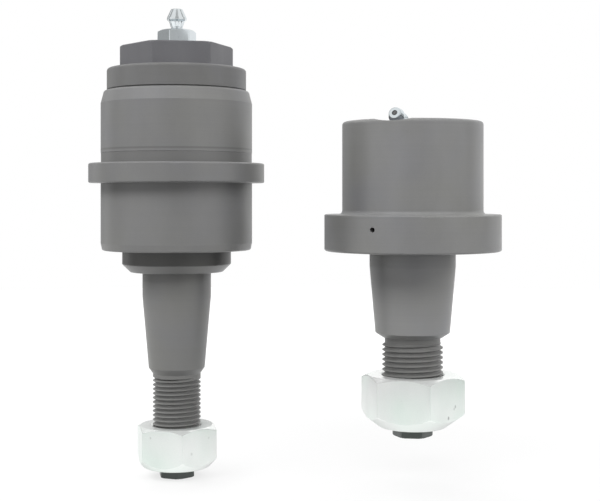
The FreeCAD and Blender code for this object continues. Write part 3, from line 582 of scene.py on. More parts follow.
class ShaderTree:
    """Adds and links the nodes of one shader tree.

    The sockets of a colour mix go by number, because their names repeat.
    """

    MIX_INPUTS = (0, 6, 7)
    MIX_RESULT = 2

    def __init__(self, tree: bpy.types.NodeTree) -> None:
        """Clears a tree and starts on it."""
        self.tree = tree
        tree.nodes.clear()

    def add(self, kind: str, **settings: object) -> bpy.types.Node:
        """Adds a node and sets its own properties.

        Args:
            kind: Kind of the node.
            settings: Its properties.

        Returns:
            The node.
        """
        node = self.tree.nodes.new(kind)
        for name, value in settings.items():
            setattr(node, name, value)
        return node

    def put(self, socket: bpy.types.NodeSocket, value: object) -> None:
        """Links an input socket, or sets it where a plain value is given.

        Args:
            socket: The input socket.
            value: An output socket or a plain value.
        """
        if isinstance(value, bpy.types.NodeSocket):
            self.tree.links.new(value, socket)
        else:
            socket.default_value = value

    def feed(self, node: bpy.types.Node, **inputs: object) -> None:
        """Sets or links a node's inputs.

        Args:
            node: The node.
            inputs: Input names, with underscores for blanks, and a value or a socket for each.
        """
        for name, value in inputs.items():
            self.put(node.inputs[name.replace("_", " ")], value)

    def place_group(self, group: bpy.types.NodeTree, **inputs: object) -> bpy.types.Node:
        """Places a node group and feeds it.

        Args:
            group: The group.
            inputs: Its inputs, as for feed.

        Returns:
            The group's node.
        """
        node = self.add("ShaderNodeGroup", node_tree=group)
        self.feed(node, **inputs)
        return node

    def emission(self, strength: object) -> bpy.types.NodeSocket:
        """Output of a white glow.

        Args:
            strength: Its strength.

        Returns:
            The output socket.
        """
        glow = self.add("ShaderNodeEmission")
        self.feed(glow, Color=WHITE, Strength=strength)
        return glow.outputs[0]

    def math(
        self, operation: str, first: object, second: object, clamp: bool = False
    ) -> bpy.types.NodeSocket:
        """Output of one sum of two values.

        Args:
            operation: Kind of the sum.
            first: First value or socket.
            second: Second value or socket.
            clamp: Whether the result is kept from 0 to 1.

        Returns:
            The output socket.
        """
        node = self.add("ShaderNodeMath", operation=operation, use_clamp=clamp)
        self.put(node.inputs[0], first)
        self.put(node.inputs[1], second)
        return node.outputs[0]

    def spread(
        self, value: object, low: float, high: float, out_low: float, out_high: float
    ) -> bpy.types.NodeSocket:
        """Output of a value stretched from one range to another, and kept in it.

        Args:
            value: The value.
            low: Value that becomes out_low.
            high: Value that becomes out_high.
            out_low: First end of the new range.
            out_high: Last end of the new range.

        Returns:
            The output socket.
        """
        node = self.add("ShaderNodeMapRange")
        self.feed(node, Value=value, From_Min=low, From_Max=high, To_Min=out_low, To_Max=out_high)
        return node.outputs["Result"]

    def blend(self, mode: str, factor: object, first: object, second: object) -> bpy.types.NodeSocket:
        """Output of one mix of two colours.

        Args:
            mode: How they are mixed.
            factor: Share of the second colour.
            first: First colour.
            second: Second colour.

        Returns:
            The output socket.
        """
        node = self.add("ShaderNodeMix", data_type="RGBA", blend_type=mode)
        for number, value in zip(self.MIX_INPUTS, (factor, first, second)):
            self.put(node.inputs[number], value)
        return node.outputs[self.MIX_RESULT]

    def noise(self, vector: object, scale: float, detail: float) -> bpy.types.NodeSocket:
        """Output of a noise pattern.

        Args:
            vector: Place in the pattern.
            scale: Grains in one metre.
            detail: Steps of finer noise in it.

        Returns:
            The output socket.
        """
        node = self.add("ShaderNodeTexNoise", noise_dimensions="3D")
        self.feed(node, Vector=vector, Scale=scale, Detail=detail)
        return node.outputs["Fac"]

    def stretched(self, vector: object, scale: tuple[float, float, float]) -> bpy.types.NodeSocket:
        """Output of a vector stretched along its axes.

        Args:
            vector: The vector.
            scale: Factor along each axis.

        Returns:
            The output socket.
        """
        node = self.add("ShaderNodeMapping")
        self.feed(node, Vector=vector, Scale=scale)
        return node.outputs["Vector"]


def new_material(name: str) -> tuple[bpy.types.Material, ShaderTree]:
    """Starts a material.

    Args:
        name: Its name.

    Returns:
        The material and its tree helper.
    """
    material = bpy.data.materials.new(name)
    material.use_nodes = True
    return material, ShaderTree(material.node_tree)


def new_group(
    name: str, inputs: Sequence[tuple[str, str, object]], outputs: Sequence[tuple[str, str]]
) -> tuple[bpy.types.NodeTree, ShaderTree, bpy.types.Node, bpy.types.Node]:
    """Starts a shader node group.

    Args:
        name: Name of the group.
        inputs: Name, socket type and default of each input.
        outputs: Name and socket type of each output.

    Returns:
        The group, its tree helper, and its input and output nodes.
    """
    group = bpy.data.node_groups.new(name, "ShaderNodeTree")
    tree = ShaderTree(group)
    for label, kind, default in inputs:
        socket = group.interface.new_socket(name=label, in_out="INPUT", socket_type=kind)
        if default is not None:
            socket.default_value = default
    for label, kind in outputs:
        group.interface.new_socket(name=label, in_out="OUTPUT", socket_type=kind)
    return group, tree, tree.add("NodeGroupInput"), tree.add("NodeGroupOutput")


class Effects:
    """Node groups that several finishes share, built once."""

    FLOAT = "NodeSocketFloat"
    VECTOR = "NodeSocketVector"
    COLOUR = "NodeSocketColor"
    FINE_RINGS = (9.0, 9.0, 2600.0)
    BROAD_RINGS = (6.0, 6.0, 420.0)
    FINE_RING_SHARE = 0.65
    BROAD_RING_SHARE = 0.35
    SPECKLE_SCALE = 3200.0
    CLOUD_STRETCH = (1.0, 1.0, 0.45)
    CLOUD_SCALE = 95.0
    EDGE_SAMPLES = 6
    EDGE_RANGE = (0.995, 0.86)
    FILM_SCALES = (70.0, 43.0)
    FILM_RANGES = ((0.35, 0.65), (0.4, 0.7))
    NICK_STRETCH = (1.0, 1.0, 0.7)
    NICK_RANGE = (0.16, 0.06)
    NICK_RARITY_SCALE = 150.0
    NICK_RARITY_RANGE = (0.54, 0.60)

    def __init__(self) -> None:
        """Builds every group."""
        self.turning = self._turning_marks()
        self.mottle = self._mottle()
        self.edges = self._soft_edges()
        self.film = self._colour_film()
        self.nicks = self._nicks()

    def _turning_marks(self) -> bpy.types.NodeTree:
        """Fine rings that a lathe leaves, close together along the axis.

        Returns:
            The group.
        """
        group, tree, source, sink = new_group(
            "turning_marks",
            [("Vector", self.VECTOR, None), ("Contrast", self.FLOAT, 1.0)],
            [("Rings", self.FLOAT)],
        )
        fine = tree.noise(tree.stretched(source.outputs["Vector"], self.FINE_RINGS), 1.0, 2.0)
        broad = tree.noise(tree.stretched(source.outputs["Vector"], self.BROAD_RINGS), 1.0, 1.0)
        rings = tree.math(
            "ADD", tree.math("MULTIPLY", fine, self.FINE_RING_SHARE),
            tree.math("MULTIPLY", broad, self.BROAD_RING_SHARE),
        )
        centred = tree.math("MULTIPLY", tree.math("SUBTRACT", rings, 0.5), source.outputs["Contrast"])
        tree.feed(sink, Rings=tree.math("ADD", centred, 0.5))
        return group

    def _mottle(self) -> bpy.types.NodeTree:
        """Uneven crystals of a phosphate coat: fine speckle over broad clouds.

        Returns:
            The group.
        """
        group, tree, source, sink = new_group(
            "coat_mottle",
            [("Vector", self.VECTOR, None), ("Speckle", self.FLOAT, 0.5), ("Clouds", self.FLOAT, 0.5)],
            [("Mask", self.FLOAT), ("Speckle", self.FLOAT)],
        )
        speckle = tree.noise(source.outputs["Vector"], self.SPECKLE_SCALE, 2.0)
        stretched = tree.stretched(source.outputs["Vector"], self.CLOUD_STRETCH)
        clouds = tree.noise(stretched, self.CLOUD_SCALE, 3.0)
        fine = tree.math("MULTIPLY", tree.math("SUBTRACT", speckle, 0.5), source.outputs["Speckle"])
        wide = tree.math("MULTIPLY", tree.math("SUBTRACT", clouds, 0.5), source.outputs["Clouds"])
        tree.feed(sink, Mask=tree.math("ADD", tree.math("ADD", fine, wide), 0.5), Speckle=speckle)
        return group

    def _soft_edges(self) -> bpy.types.NodeTree:
        """Normal of slightly rounded edges, and a mask that is 1 along them.

        Returns:
            The group.
        """
        group, tree, source, sink = new_group(
            "soft_edges",
            [("Radius", self.FLOAT, 0.0003)],
            [("Normal", self.VECTOR), ("Edge", self.FLOAT)],
        )
        rounding = tree.add("ShaderNodeBevel", samples=self.EDGE_SAMPLES)
        tree.feed(rounding, Radius=source.outputs["Radius"])
        geometry = tree.add("ShaderNodeNewGeometry")
        dot = tree.add("ShaderNodeVectorMath", operation="DOT_PRODUCT")
        tree.put(dot.inputs[0], rounding.outputs[0])
        tree.put(dot.inputs[1], geometry.outputs["Normal"])
        edge = tree.spread(dot.outputs["Value"], *self.EDGE_RANGE, 0.0, 1.0)
        tree.feed(sink, Normal=rounding.outputs[0], Edge=edge)
        return group

    def _colour_film(self) -> bpy.types.NodeTree:
        """Slow drift between three tints, as of a passivated plating.

        Returns:
            The group.
        """
        group, tree, source, sink = new_group(
            "colour_film",
            [
                ("Vector", self.VECTOR, None),
                ("First", self.COLOUR, WHITE),
                ("Second", self.COLOUR, WHITE),
                ("Third", self.COLOUR, WHITE),
            ],
            [("Tint", self.COLOUR)],
        )
        one, two = (
            tree.spread(tree.noise(source.outputs["Vector"], scale, 1.0), *limits, 0.0, 1.0)
            for scale, limits in zip(self.FILM_SCALES, self.FILM_RANGES)
        )
        mixed = tree.blend("MIX", one, source.outputs["First"], source.outputs["Second"])
        tree.feed(sink, Tint=tree.blend("MIX", two, mixed, source.outputs["Third"]))
        return group

    def _nicks(self) -> bpy.types.NodeTree:
        """Small scattered dents and rubs from handling, 0 where there are none.

        Returns:
            The group.
        """
        group, tree, source, sink = new_group(
            "handling_nicks",
            [("Vector", self.VECTOR, None), ("Amount", self.FLOAT, 0.2), ("Density", self.FLOAT, 260.0)],
            [("Mask", self.FLOAT)],
        )
        cells = tree.add("ShaderNodeTexVoronoi", feature="F1")
        stretched = tree.stretched(source.outputs["Vector"], self.NICK_STRETCH)
        tree.feed(cells, Vector=stretched, Scale=source.outputs["Density"], Randomness=1.0)
        spots = tree.spread(cells.outputs["Distance"], *self.NICK_RANGE, 0.0, 1.0)
        rarity = tree.noise(source.outputs["Vector"], self.NICK_RARITY_SCALE, 1.0)
        chosen = tree.spread(rarity, *self.NICK_RARITY_RANGE, 0.0, 1.0)
        mask = tree.math("MULTIPLY", tree.math("MULTIPLY", spots, chosen), source.outputs["Amount"])
        tree.feed(sink, Mask=mask)
        return group


@dataclass(frozen=True)
class Finish:
    """One metal or rubber surface.

    Args:
        name: Name of the material.
        colour: Base colour.
        dark: Colour in the coat's deeper places.
        worn: Colour along rubbed edges.
        metallic: How far it reflects as bare metal.
        roughness: Mean roughness.
        roughness_spread: How far the roughness wanders.
        speckle: Strength of the fine speckle.
        clouds: Strength of the broad clouds.
        rings: Contrast of the turning marks.
        bump: Height of the marks, in millimetres.
        edge_radius: Rounding that the light sees along edges, in millimetres.
        edge_share: How much of the worn colour shows along edges.
        nicks: Amount of small dents.
        nick_density: Places for a dent in one metre.
        tints: Three tints that drift over the surface, or none.
        bands: Lower and upper height, in millimetres, and colour of each darker band.
        rim: Brightness of bare metal where it is seen at a grazing angle.
    """

    name: str
    colour: Colour
    dark: Colour
    worn: Colour
    metallic: float
    roughness: float
    roughness_spread: float = 0.1
    speckle: float = 0.6
    clouds: float = 0.5
    rings: float = 0.6
    bump: float = 0.01
    edge_radius: float = 0.25
    edge_share: float = 0.3
    nicks: float = 0.0
    nick_density: float = 260.0
    tints: tuple[Colour, ...] = ()
    bands: tuple[tuple[float, float, Colour], ...] = ()
    rim: float = 1.0

    MOTTLE_DEPTH = 0.6
    RINGS_DEPTH = 0.4
    BAND_EDGE = 0.15
    BAND_DARK = 0.8
    RUB_RANGE = (0.3, 0.7, 0.4, 1.3)
    RELIEF_SHARE = 0.5
    NICK_SHADE = 0.5
    NICK_DEPTH = 2.0
    ROUGHNESS_RANGE = (0.2, 0.8)

    def build(self, effects: Effects) -> bpy.types.Material:
        """Builds the material.

        Args:
            effects: The shared node groups.

        Returns:
            The material.
        """
        material, tree = new_material(self.name)
        place = tree.add("ShaderNodeTexCoord").outputs["Object"]
        mottle = tree.place_group(effects.mottle, Vector=place, Speckle=self.speckle, Clouds=self.clouds)
        rings = tree.place_group(effects.turning, Vector=place, Contrast=self.rings).outputs["Rings"]
        edges = tree.place_group(effects.edges, Radius=self.edge_radius * MM)

        depth = tree.math(
            "ADD", tree.math("MULTIPLY", mottle.outputs["Mask"], self.MOTTLE_DEPTH),
            tree.math("MULTIPLY", rings, self.RINGS_DEPTH), clamp=True,
        )
        colour = tree.blend("MIX", depth, (*self.dark, 1.0), (*self.colour, 1.0))
        if self.tints:
            first, second, third = ((*tint, 1.0) for tint in self.tints)
            film = tree.place_group(effects.film, Vector=place, First=first, Second=second, Third=third)
            colour = tree.blend("MULTIPLY", 1.0, colour, film.outputs["Tint"])
        colour = self._with_bands(tree, place, depth, colour)
        rub = tree.math(
            "MULTIPLY", tree.math("MULTIPLY", edges.outputs["Edge"], self.edge_share),
            tree.spread(mottle.outputs["Mask"], *self.RUB_RANGE), clamp=True,
        )
        colour = tree.blend("MIX", rub, colour, (*self.worn, 1.0))
        relief = tree.math(
            "ADD", tree.math("MULTIPLY", rings, self.RELIEF_SHARE),
            tree.math("MULTIPLY", mottle.outputs["Speckle"], self.RELIEF_SHARE),
        )
        if self.nicks > 0.0:
            nicks = tree.place_group(
                effects.nicks, Vector=place, Amount=self.nicks, Density=self.nick_density
            ).outputs["Mask"]
            dent = (*(self.NICK_SHADE * part for part in self.dark), 1.0)
            colour = tree.blend("MIX", nicks, colour, dent)
            relief = tree.math("SUBTRACT", relief, tree.math("MULTIPLY", nicks, self.NICK_DEPTH))

        bump = tree.add("ShaderNodeBump")
        tree.feed(
            bump, Strength=1.0, Distance=self.bump * MM, Height=relief, Normal=edges.outputs["Normal"]
        )
        half = 0.5 * self.roughness_spread
        roughness = tree.spread(depth, *self.ROUGHNESS_RANGE, self.roughness + half, self.roughness - half)
        shader = tree.add("ShaderNodeBsdfPrincipled")
        tree.feed(
            shader, Base_Color=colour, Metallic=self.metallic, Normal=bump.outputs["Normal"],
            Roughness=roughness, Specular_Tint=(self.rim, self.rim, self.rim, 1.0),
        )
        tree.feed(tree.add("ShaderNodeOutputMaterial"), Surface=shader.outputs["BSDF"])
        return material

    def _with_bands(
        self, tree: ShaderTree, place: bpy.types.NodeSocket, depth: bpy.types.NodeSocket,
        colour: bpy.types.NodeSocket,
    ) -> bpy.types.NodeSocket:
        """Lays the darker bands over a colour.

        Args:
            tree: Tree of the material.
            place: Object coordinates.
            depth: Mask that is 0 in the coat's deeper places.
            colour: The colour so far.

        Returns:
            The colour with the bands.
        """
        for low, high, band in self.bands:
            axes = tree.add("ShaderNodeSeparateXYZ")
            tree.feed(axes, Vector=place)
            above, below = (
                tree.spread(
                    axes.outputs["Z"], (limit - self.BAND_EDGE) * MM, (limit + self.BAND_EDGE) * MM, *ends
                )
                for limit, ends in ((low, (0.0, 1.0)), (high, (1.0, 0.0)))
            )
            dark = (*(self.BAND_DARK * part for part in band), 1.0)
            tone = tree.blend("MIX", depth, dark, (*band, 1.0))
            colour = tree.blend("MIX", tree.math("MULTIPLY", above, below), colour, tone)
        return colour


COAT_TINTS = ((1.0, 1.0, 1.0), (0.985, 0.99, 1.02), (1.005, 1.005, 0.98))


class Surface(Enum):
    """The finishes of the set."""

    TALL_HOUSING = Finish(
        "grey_phosphate", (0.230, 0.230, 0.228), (0.170, 0.170, 0.170), (0.38, 0.38, 0.38),
        metallic=0.2, roughness=0.4, speckle=0.6, clouds=1.1, rings=0.8, bump=0.006, edge_share=0.5,
        tints=COAT_TINTS,
        bands=(
            # The first band darkens the boss under the body's overhang: painted shade and a painted dark
            # reflection.
            (-36.7, -31.6, (0.086, 0.086, 0.083)), (0.1, 3.7, (0.182, 0.182, 0.180)),
            (4.65, 5.3, (0.166, 0.166, 0.164)),
        ),
    )
    SHORT_HOUSING = Finish(
        "pale_phosphate", (0.256, 0.256, 0.254), (0.190, 0.190, 0.190), (0.40, 0.40, 0.40),
        metallic=0.2, roughness=0.4, speckle=0.6, clouds=1.2, rings=0.8, bump=0.006, edge_share=0.5,
        tints=COAT_TINTS,
    )
    LOCK_RING = Finish(
        "ring_phosphate", (0.178, 0.178, 0.176), (0.130, 0.130, 0.130), (0.40, 0.40, 0.40),
        metallic=0.2, roughness=0.42, speckle=0.6, clouds=1.9, rings=0.6, bump=0.006, edge_share=0.7,
        tints=COAT_TINTS,
    )
    CAP = Finish(
        "dark_phosphate", (0.142, 0.142, 0.150), (0.104, 0.104, 0.112), (0.26, 0.26, 0.27),
        metallic=0.25, roughness=0.45, speckle=0.8, clouds=1.5, rings=0.25, bump=0.008, edge_radius=0.6,
        edge_share=0.6,
    )
    TALL_STUD = Finish(
        "ground_taper", (0.232, 0.232, 0.226), (0.186, 0.186, 0.182), (0.34, 0.34, 0.34),
        metallic=0.16, roughness=0.44, speckle=0.4, clouds=0.7, rings=1.0, bump=0.005, tints=COAT_TINTS,
    )
    SHORT_STUD = Finish(
        "pale_ground_taper", (0.306, 0.306, 0.303), (0.246, 0.246, 0.244), (0.40, 0.40, 0.40),
        metallic=0.16, roughness=0.44, speckle=0.4, clouds=0.7, rings=1.0, bump=0.005, tints=COAT_TINTS,
    )
    THREAD = Finish(
        "thread_phosphate", (0.240, 0.240, 0.234), (0.170, 0.170, 0.166), (0.42, 0.42, 0.42),
        metallic=0.2, roughness=0.5, speckle=0.6, clouds=0.8, rings=0.2, bump=0.006,
        edge_radius=0.12, edge_share=0.6,
    )
    TIP = Finish(
        "black_oxide", (0.108, 0.124, 0.116), (0.068, 0.080, 0.074), (0.17, 0.185, 0.178),
        metallic=0.3, roughness=0.4, speckle=0.6, clouds=0.7, rings=0.2, bump=0.008, edge_share=0.35,
    )
    ZINC = Finish(
        "bright_zinc", (0.79, 0.81, 0.795), (0.62, 0.65, 0.635), (0.50, 0.54, 0.52),
        metallic=0.95, roughness=0.38, roughness_spread=0.16, speckle=0.6, clouds=1.2, rings=0.15, bump=0.006,
        edge_radius=0.35, edge_share=0.5, nicks=0.9,
        tints=((0.985, 1.0, 0.99), (0.94, 1.0, 0.965), (1.0, 0.985, 0.99)),
    )
    # Brighter copy of the zinc for the nut's downward-facing dome: painted reflection of the pale floor.
    ZINC_DOME = Finish(
        "zinc_dome_painted_reflection", (0.89, 0.91, 0.895), (0.76, 0.785, 0.77), (0.88, 0.89, 0.88),
        metallic=0.95, roughness=0.34, roughness_spread=0.16, speckle=0.5, clouds=0.8, rings=0.15, bump=0.006,
        edge_radius=0.2, edge_share=0.4, nicks=0.6, rim=0.6,
        tints=((0.985, 1.0, 0.99), (0.96, 1.0, 0.975), (1.0, 0.985, 0.99)),
    )
    # Lighter, less metallic copy of the zinc for the nut's upward-facing end: painted top light.
    ZINC_END = Finish(
        "zinc_end_painted_top_light", (0.92, 0.93, 0.925), (0.80, 0.82, 0.81), (0.50, 0.54, 0.52),
        metallic=0.5, roughness=0.2, roughness_spread=0.12, speckle=0.5, clouds=0.8, rings=0.3, bump=0.004,
        edge_radius=0.35, edge_share=0.5, nicks=0.6,
        tints=((0.99, 1.0, 0.99), (0.97, 1.0, 0.98), (1.0, 0.99, 0.99)),
    )
    FITTING = Finish(
        "fitting_zinc", (0.80, 0.84, 0.86), (0.58, 0.62, 0.64), (0.90, 0.92, 0.93),
        metallic=1.0, roughness=0.14, roughness_spread=0.1, speckle=0.5, clouds=0.8, rings=0.5, bump=0.004,
        edge_radius=0.12, edge_share=0.4, nicks=0.7, nick_density=900.0,
        tints=((0.97, 0.99, 1.0), (0.94, 0.97, 1.0), (1.0, 0.99, 0.97)),
    )
    GREASED = Finish(
        "greased_ball", (0.20, 0.20, 0.205), (0.12, 0.12, 0.12), (0.24, 0.24, 0.24),
        metallic=0.9, roughness=0.25, speckle=0.4, clouds=0.8, rings=0.0, bump=0.003,
    )
    HARDENED = Finish(
        "hardened_steel", (0.44, 0.44, 0.45), (0.33, 0.33, 0.34), (0.58, 0.58, 0.58),
        metallic=1.0, roughness=0.24, speckle=0.2, clouds=0.3, rings=1.0, bump=0.003,
    )
    SPRING = Finish(
        "spring_steel", (0.27, 0.28, 0.30), (0.18, 0.19, 0.21), (0.42, 0.42, 0.43),
        metallic=1.0, roughness=0.34, speckle=0.3, clouds=0.6, rings=0.3, bump=0.003, edge_radius=0.1,
    )
    RUBBER = Finish(
        "nitrile_rubber", (0.020, 0.020, 0.021), (0.014, 0.014, 0.014), (0.04, 0.04, 0.04),
        metallic=0.0, roughness=0.6, speckle=0.5, clouds=0.5, rings=0.0, bump=0.01, edge_radius=0.1,
        edge_share=0.1,
    )


class Wardrobe:
    """Builds each finish once and puts it on pieces."""

    def __init__(self) -> None:
        """Builds the shared effects."""
        self.effects = Effects()
        self.made: dict[Surface, bpy.types.Material] = {}

    def material(self, surface: Surface) -> bpy.types.Material:
        """The material of a finish, built when it is first asked for.

        Args:
            surface: The finish.

        Returns:
            The material.
        """
        if surface not in self.made:
            self.made[surface] = surface.value.build(self.effects)
        return self.made[surface]

    def dress(self, piece: Object, *surfaces: Surface) -> None:
        """Replaces a piece's materials by one or more finishes.

        Args:
            piece: The piece.
            surfaces: The finishes, in the order of their numbers on the faces.
        """
        piece.data.materials.clear()
        for surface in surfaces:
            piece.data.materials.append(self.material(surface))

    def dress_node(self, name: str, surface: Surface) -> None:
        """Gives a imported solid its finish.

        Args:
            name: Name of the solid's node.
            surface: The finish.
        """
        node = frame["nodes"][name]
        for slot in node.material_slots:
            slot.link = "OBJECT"
            slot.material = self.material(surface)


def paint_by_height(piece: Object, limits: Sequence[float]) -> None:
    """Chooses the material of each face by the height of its middle.

    Args:
        piece: The piece.
        limits: Upper height of each of its materials, in millimetres, from the lowest up.
    """
    for face in piece.data.polygons:
        height = face.center.z / MM
        face.material_index = next(number for number, limit in enumerate(limits) if height < limit)


def seat_piece(piece: Object, body: str, slot: str, *nodes: str) -> None:
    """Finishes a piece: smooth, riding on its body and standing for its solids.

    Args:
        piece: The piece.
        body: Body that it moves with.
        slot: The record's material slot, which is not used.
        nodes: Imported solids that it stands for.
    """
    smooth(piece)
    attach(piece, body)
    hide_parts(*nodes)


@dataclass(frozen=True)
class StudAndNut:
    """Ball stud with its thread and hexagonal tip, and the domed nut on it.

    Sizes are in millimetres. Heights are counted down from the housing's mouth.

    Args:
        side: Which joint of the set it belongs to.
        axis_x: Place of the stud's axis along X.
        ball_radius: Radius of the ball.
        ball_centre: Height of the ball's centre, in the set's frame.
        ball_flat: Height of the flat on top of the ball, in the set's frame.
        neck_radius: Radius of the neck under the ball.
        stud_radius: Radius where the taper starts.
        flare: Height over which the neck widens to that radius.
        below_lip: Distance from the mouth to the start of the taper.
        taper_length: Length of the taper.
        taper_chamfer: Height of the chamfer at the taper's end.
        end_step: How far that chamfer ends outside the thread.
        undercut_length: Distance from the chamfer to the first whole crest.
        undercut_depth: Depth of the groove above the thread.
        thread_radius: Radius of the thread's crests.
        pitch: Rise of one turn of the thread.
        thread_end: How the thread ends at the taper.
        thread_turn_deg: Turn of the thread about the axis.
        finish: Finish of the taper.
        nut: Section of the nut.
        nut_hex_height: Height of the nut's flats.
        nut_shoulder_inset: How far the dome's shoulder lies inside the corners.
        tip: Section of the hexagonal tip.
    """

    side: str
    axis_x: float
    ball_radius: float
    ball_centre: float
    ball_flat: float
    neck_radius: float
    stud_radius: float
    flare: float
    below_lip: float
    taper_length: float
    taper_chamfer: float
    end_step: float
    undercut_length: float
    undercut_depth: float
    thread_radius: float
    pitch: float
    thread_end: ThreadEnd
    thread_turn_deg: float
    finish: Surface
    nut: Hexagon
    nut_hex_height: float
    nut_shoulder_inset: float
    tip: Hexagon

    FLARE_ABOVE_MOUTH = 0.5
    TAPER = math.tan(math.radians(5.0))
    NECK_ROUND = 2.0
    TAPER_START_ROUND = 4.0
    TAPER_END_ROUND = 0.5
    CHAMFER_END_ROUND = 0.2
    UNDERCUT_ROUND = 0.3
    BALL_STEPS = 24
    BALL_ABOVE_NECK = 3.0
    THREAD_OVERLAP = 0.3
    THREAD_COVER = 0.15
    THREAD_MARGIN = 0.05
    TIP_INSIDE_NUT = 3.4
    TIP_OVERLAP = 1.0
    TIP_CHAMFER = 0.4
    TIP_CORE_INSET = 0.6
    TIP_EDGE = 0.2
    NUT_CLEARANCE = 0.05
    NUT_LEAD_IN = 0.6
    NUT_CROWN_HEIGHT = 2.2
    NUT_HOLE_ROUND = 0.4
    NUT_SHOULDER_RISE = 0.25
    NUT_SHOULDER_ROUND = 2.0
    NUT_FLATS_ROUND = 1.0
    NUT_CHAMFER_INSET = 0.3
    NUT_CHAMFER_DEG = 30.0
    NUT_TOP_ROUND = 0.3
    NUT_CORE_INSET = 0.3
    NUT_TOP_MARGIN = 1.0
    NUT_DOME_MARGIN = 0.2
    NUT_EDGE = 0.28
    NUT_END_SLOPE = 0.6
    NUT_DOME_SLOPE = 0.25

    def _heights(self) -> dict[str, float]:
        """Heights of the stud and its nut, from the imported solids.

        Returns:
            Heights by name, in millimetres.
        """
        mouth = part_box(f"{self.side}_housing")[0].z / MM
        nut_low, nut_high = (corner.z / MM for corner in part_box(f"{self.side}_lock_nut"))
        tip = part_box(f"{self.side}_ball_stud")[0].z / MM
        taper_start = mouth - self.below_lip
        taper_end = taper_start - self.taper_length
        chamfer_end = taper_end - self.taper_chamfer
        return {
            "flare_end": mouth + self.FLARE_ABOVE_MOUTH,
            "taper_start": taper_start,
            "taper_end": taper_end,
            "chamfer_end": chamfer_end,
            "thread_start": chamfer_end - self.undercut_length,
            "thread_end": nut_low + self.TIP_INSIDE_NUT,
            "nut_low": nut_low,
            "nut_high": nut_high,
            "tip": tip,
        }

    def build_stud(self, wardrobe: Wardrobe) -> Object:
        """Models the stud in three closed shells: shank, thread and tip.

        Args:
            wardrobe: The finishes.

        Returns:
            The stud.
        """
        at = self._heights()
        taper_radius = self.stud_radius - self.taper_length * self.TAPER
        runs_out = self.thread_end is ThreadEnd.RUNS_OUT
        waist = self.thread_radius - (self.THREAD_COVER if runs_out else self.undercut_depth)
        upper_neck = at["flare_end"] + self.flare
        neck_angle = math.degrees(math.acos(self.neck_radius / self.ball_radius))
        crown_angle = math.degrees(math.asin((self.ball_flat - self.ball_centre) / self.ball_radius))
        outline = [
            Corner(waist, at["chamfer_end" if runs_out else "thread_start"] - self.THREAD_OVERLAP),
            Corner(waist, at["chamfer_end"], 0.0 if runs_out else self.UNDERCUT_ROUND),
            Corner(
                min(self.thread_radius + self.end_step, taper_radius), at["chamfer_end"],
                self.CHAMFER_END_ROUND,
            ),
            Corner(taper_radius, at["taper_end"], self.TAPER_END_ROUND),
            Corner(self.stud_radius, at["taper_start"], self.TAPER_START_ROUND),
            Corner(self.stud_radius, at["flare_end"], self.NECK_ROUND),
            Corner(self.neck_radius, upper_neck, self.NECK_ROUND),
            *ball_arc(self.ball_radius, self.ball_centre, -neck_angle, crown_angle, self.BALL_STEPS),
        ]
        shank = Lathe(self.axis_x).turned(f"{self.side}_shank", outline)
        top = at["chamfer_end"] + self.THREAD_COVER if runs_out else at["thread_start"]
        thread = Thread(
            self.thread_radius, self.pitch, at["thread_end"], top, self.thread_end, self.thread_turn_deg,
            top - at["thread_start"],
        )
        bar = thread.wound(f"{self.side}_thread", self.axis_x)
        tip = self._tip(at["tip"], at["thread_end"] + self.TIP_OVERLAP)
        stud = joined([shank, bar, tip], f"{self.side}_threaded_stud")
        wardrobe.dress(stud, Surface.TIP, Surface.THREAD, self.finish, Surface.HARDENED)
        thread_top = at["chamfer_end"] - self.THREAD_MARGIN
        paint_by_height(stud, [at["thread_end"], thread_top, upper_neck + self.BALL_ABOVE_NECK, math.inf])
        seat_piece(stud, f"{self.side}_stud", "stud_steel", f"{self.side}_ball_stud")
        return stud

    def _tip(self, low: float, high: float) -> Object:
        """Models the hexagonal tip.

        Args:
            low: Height of its lower end.
            high: Height of its upper end, inside the thread.

        Returns:
            The tip.
        """
        reach = self.tip.reach
        inner = 0.5 * self.tip.flats - self.TIP_CORE_INSET
        lower = [Corner(reach - self.TIP_CHAMFER, low), Corner(reach, low + self.TIP_CHAMFER)]
        upper = [Corner(reach, high), Corner(reach - self.TIP_CHAMFER, high)]
        lathe = Lathe(self.axis_x, SMALL_SEGMENTS, self.tip.corner_deg)
        tip = lathe.turned(f"{self.side}_tip", [*lower, *upper])
        self.tip.press(tip, self.axis_x, upper, [Corner(inner, low), *lower], inner)
        break_edges(tip, self.TIP_EDGE, 2)
        return tip

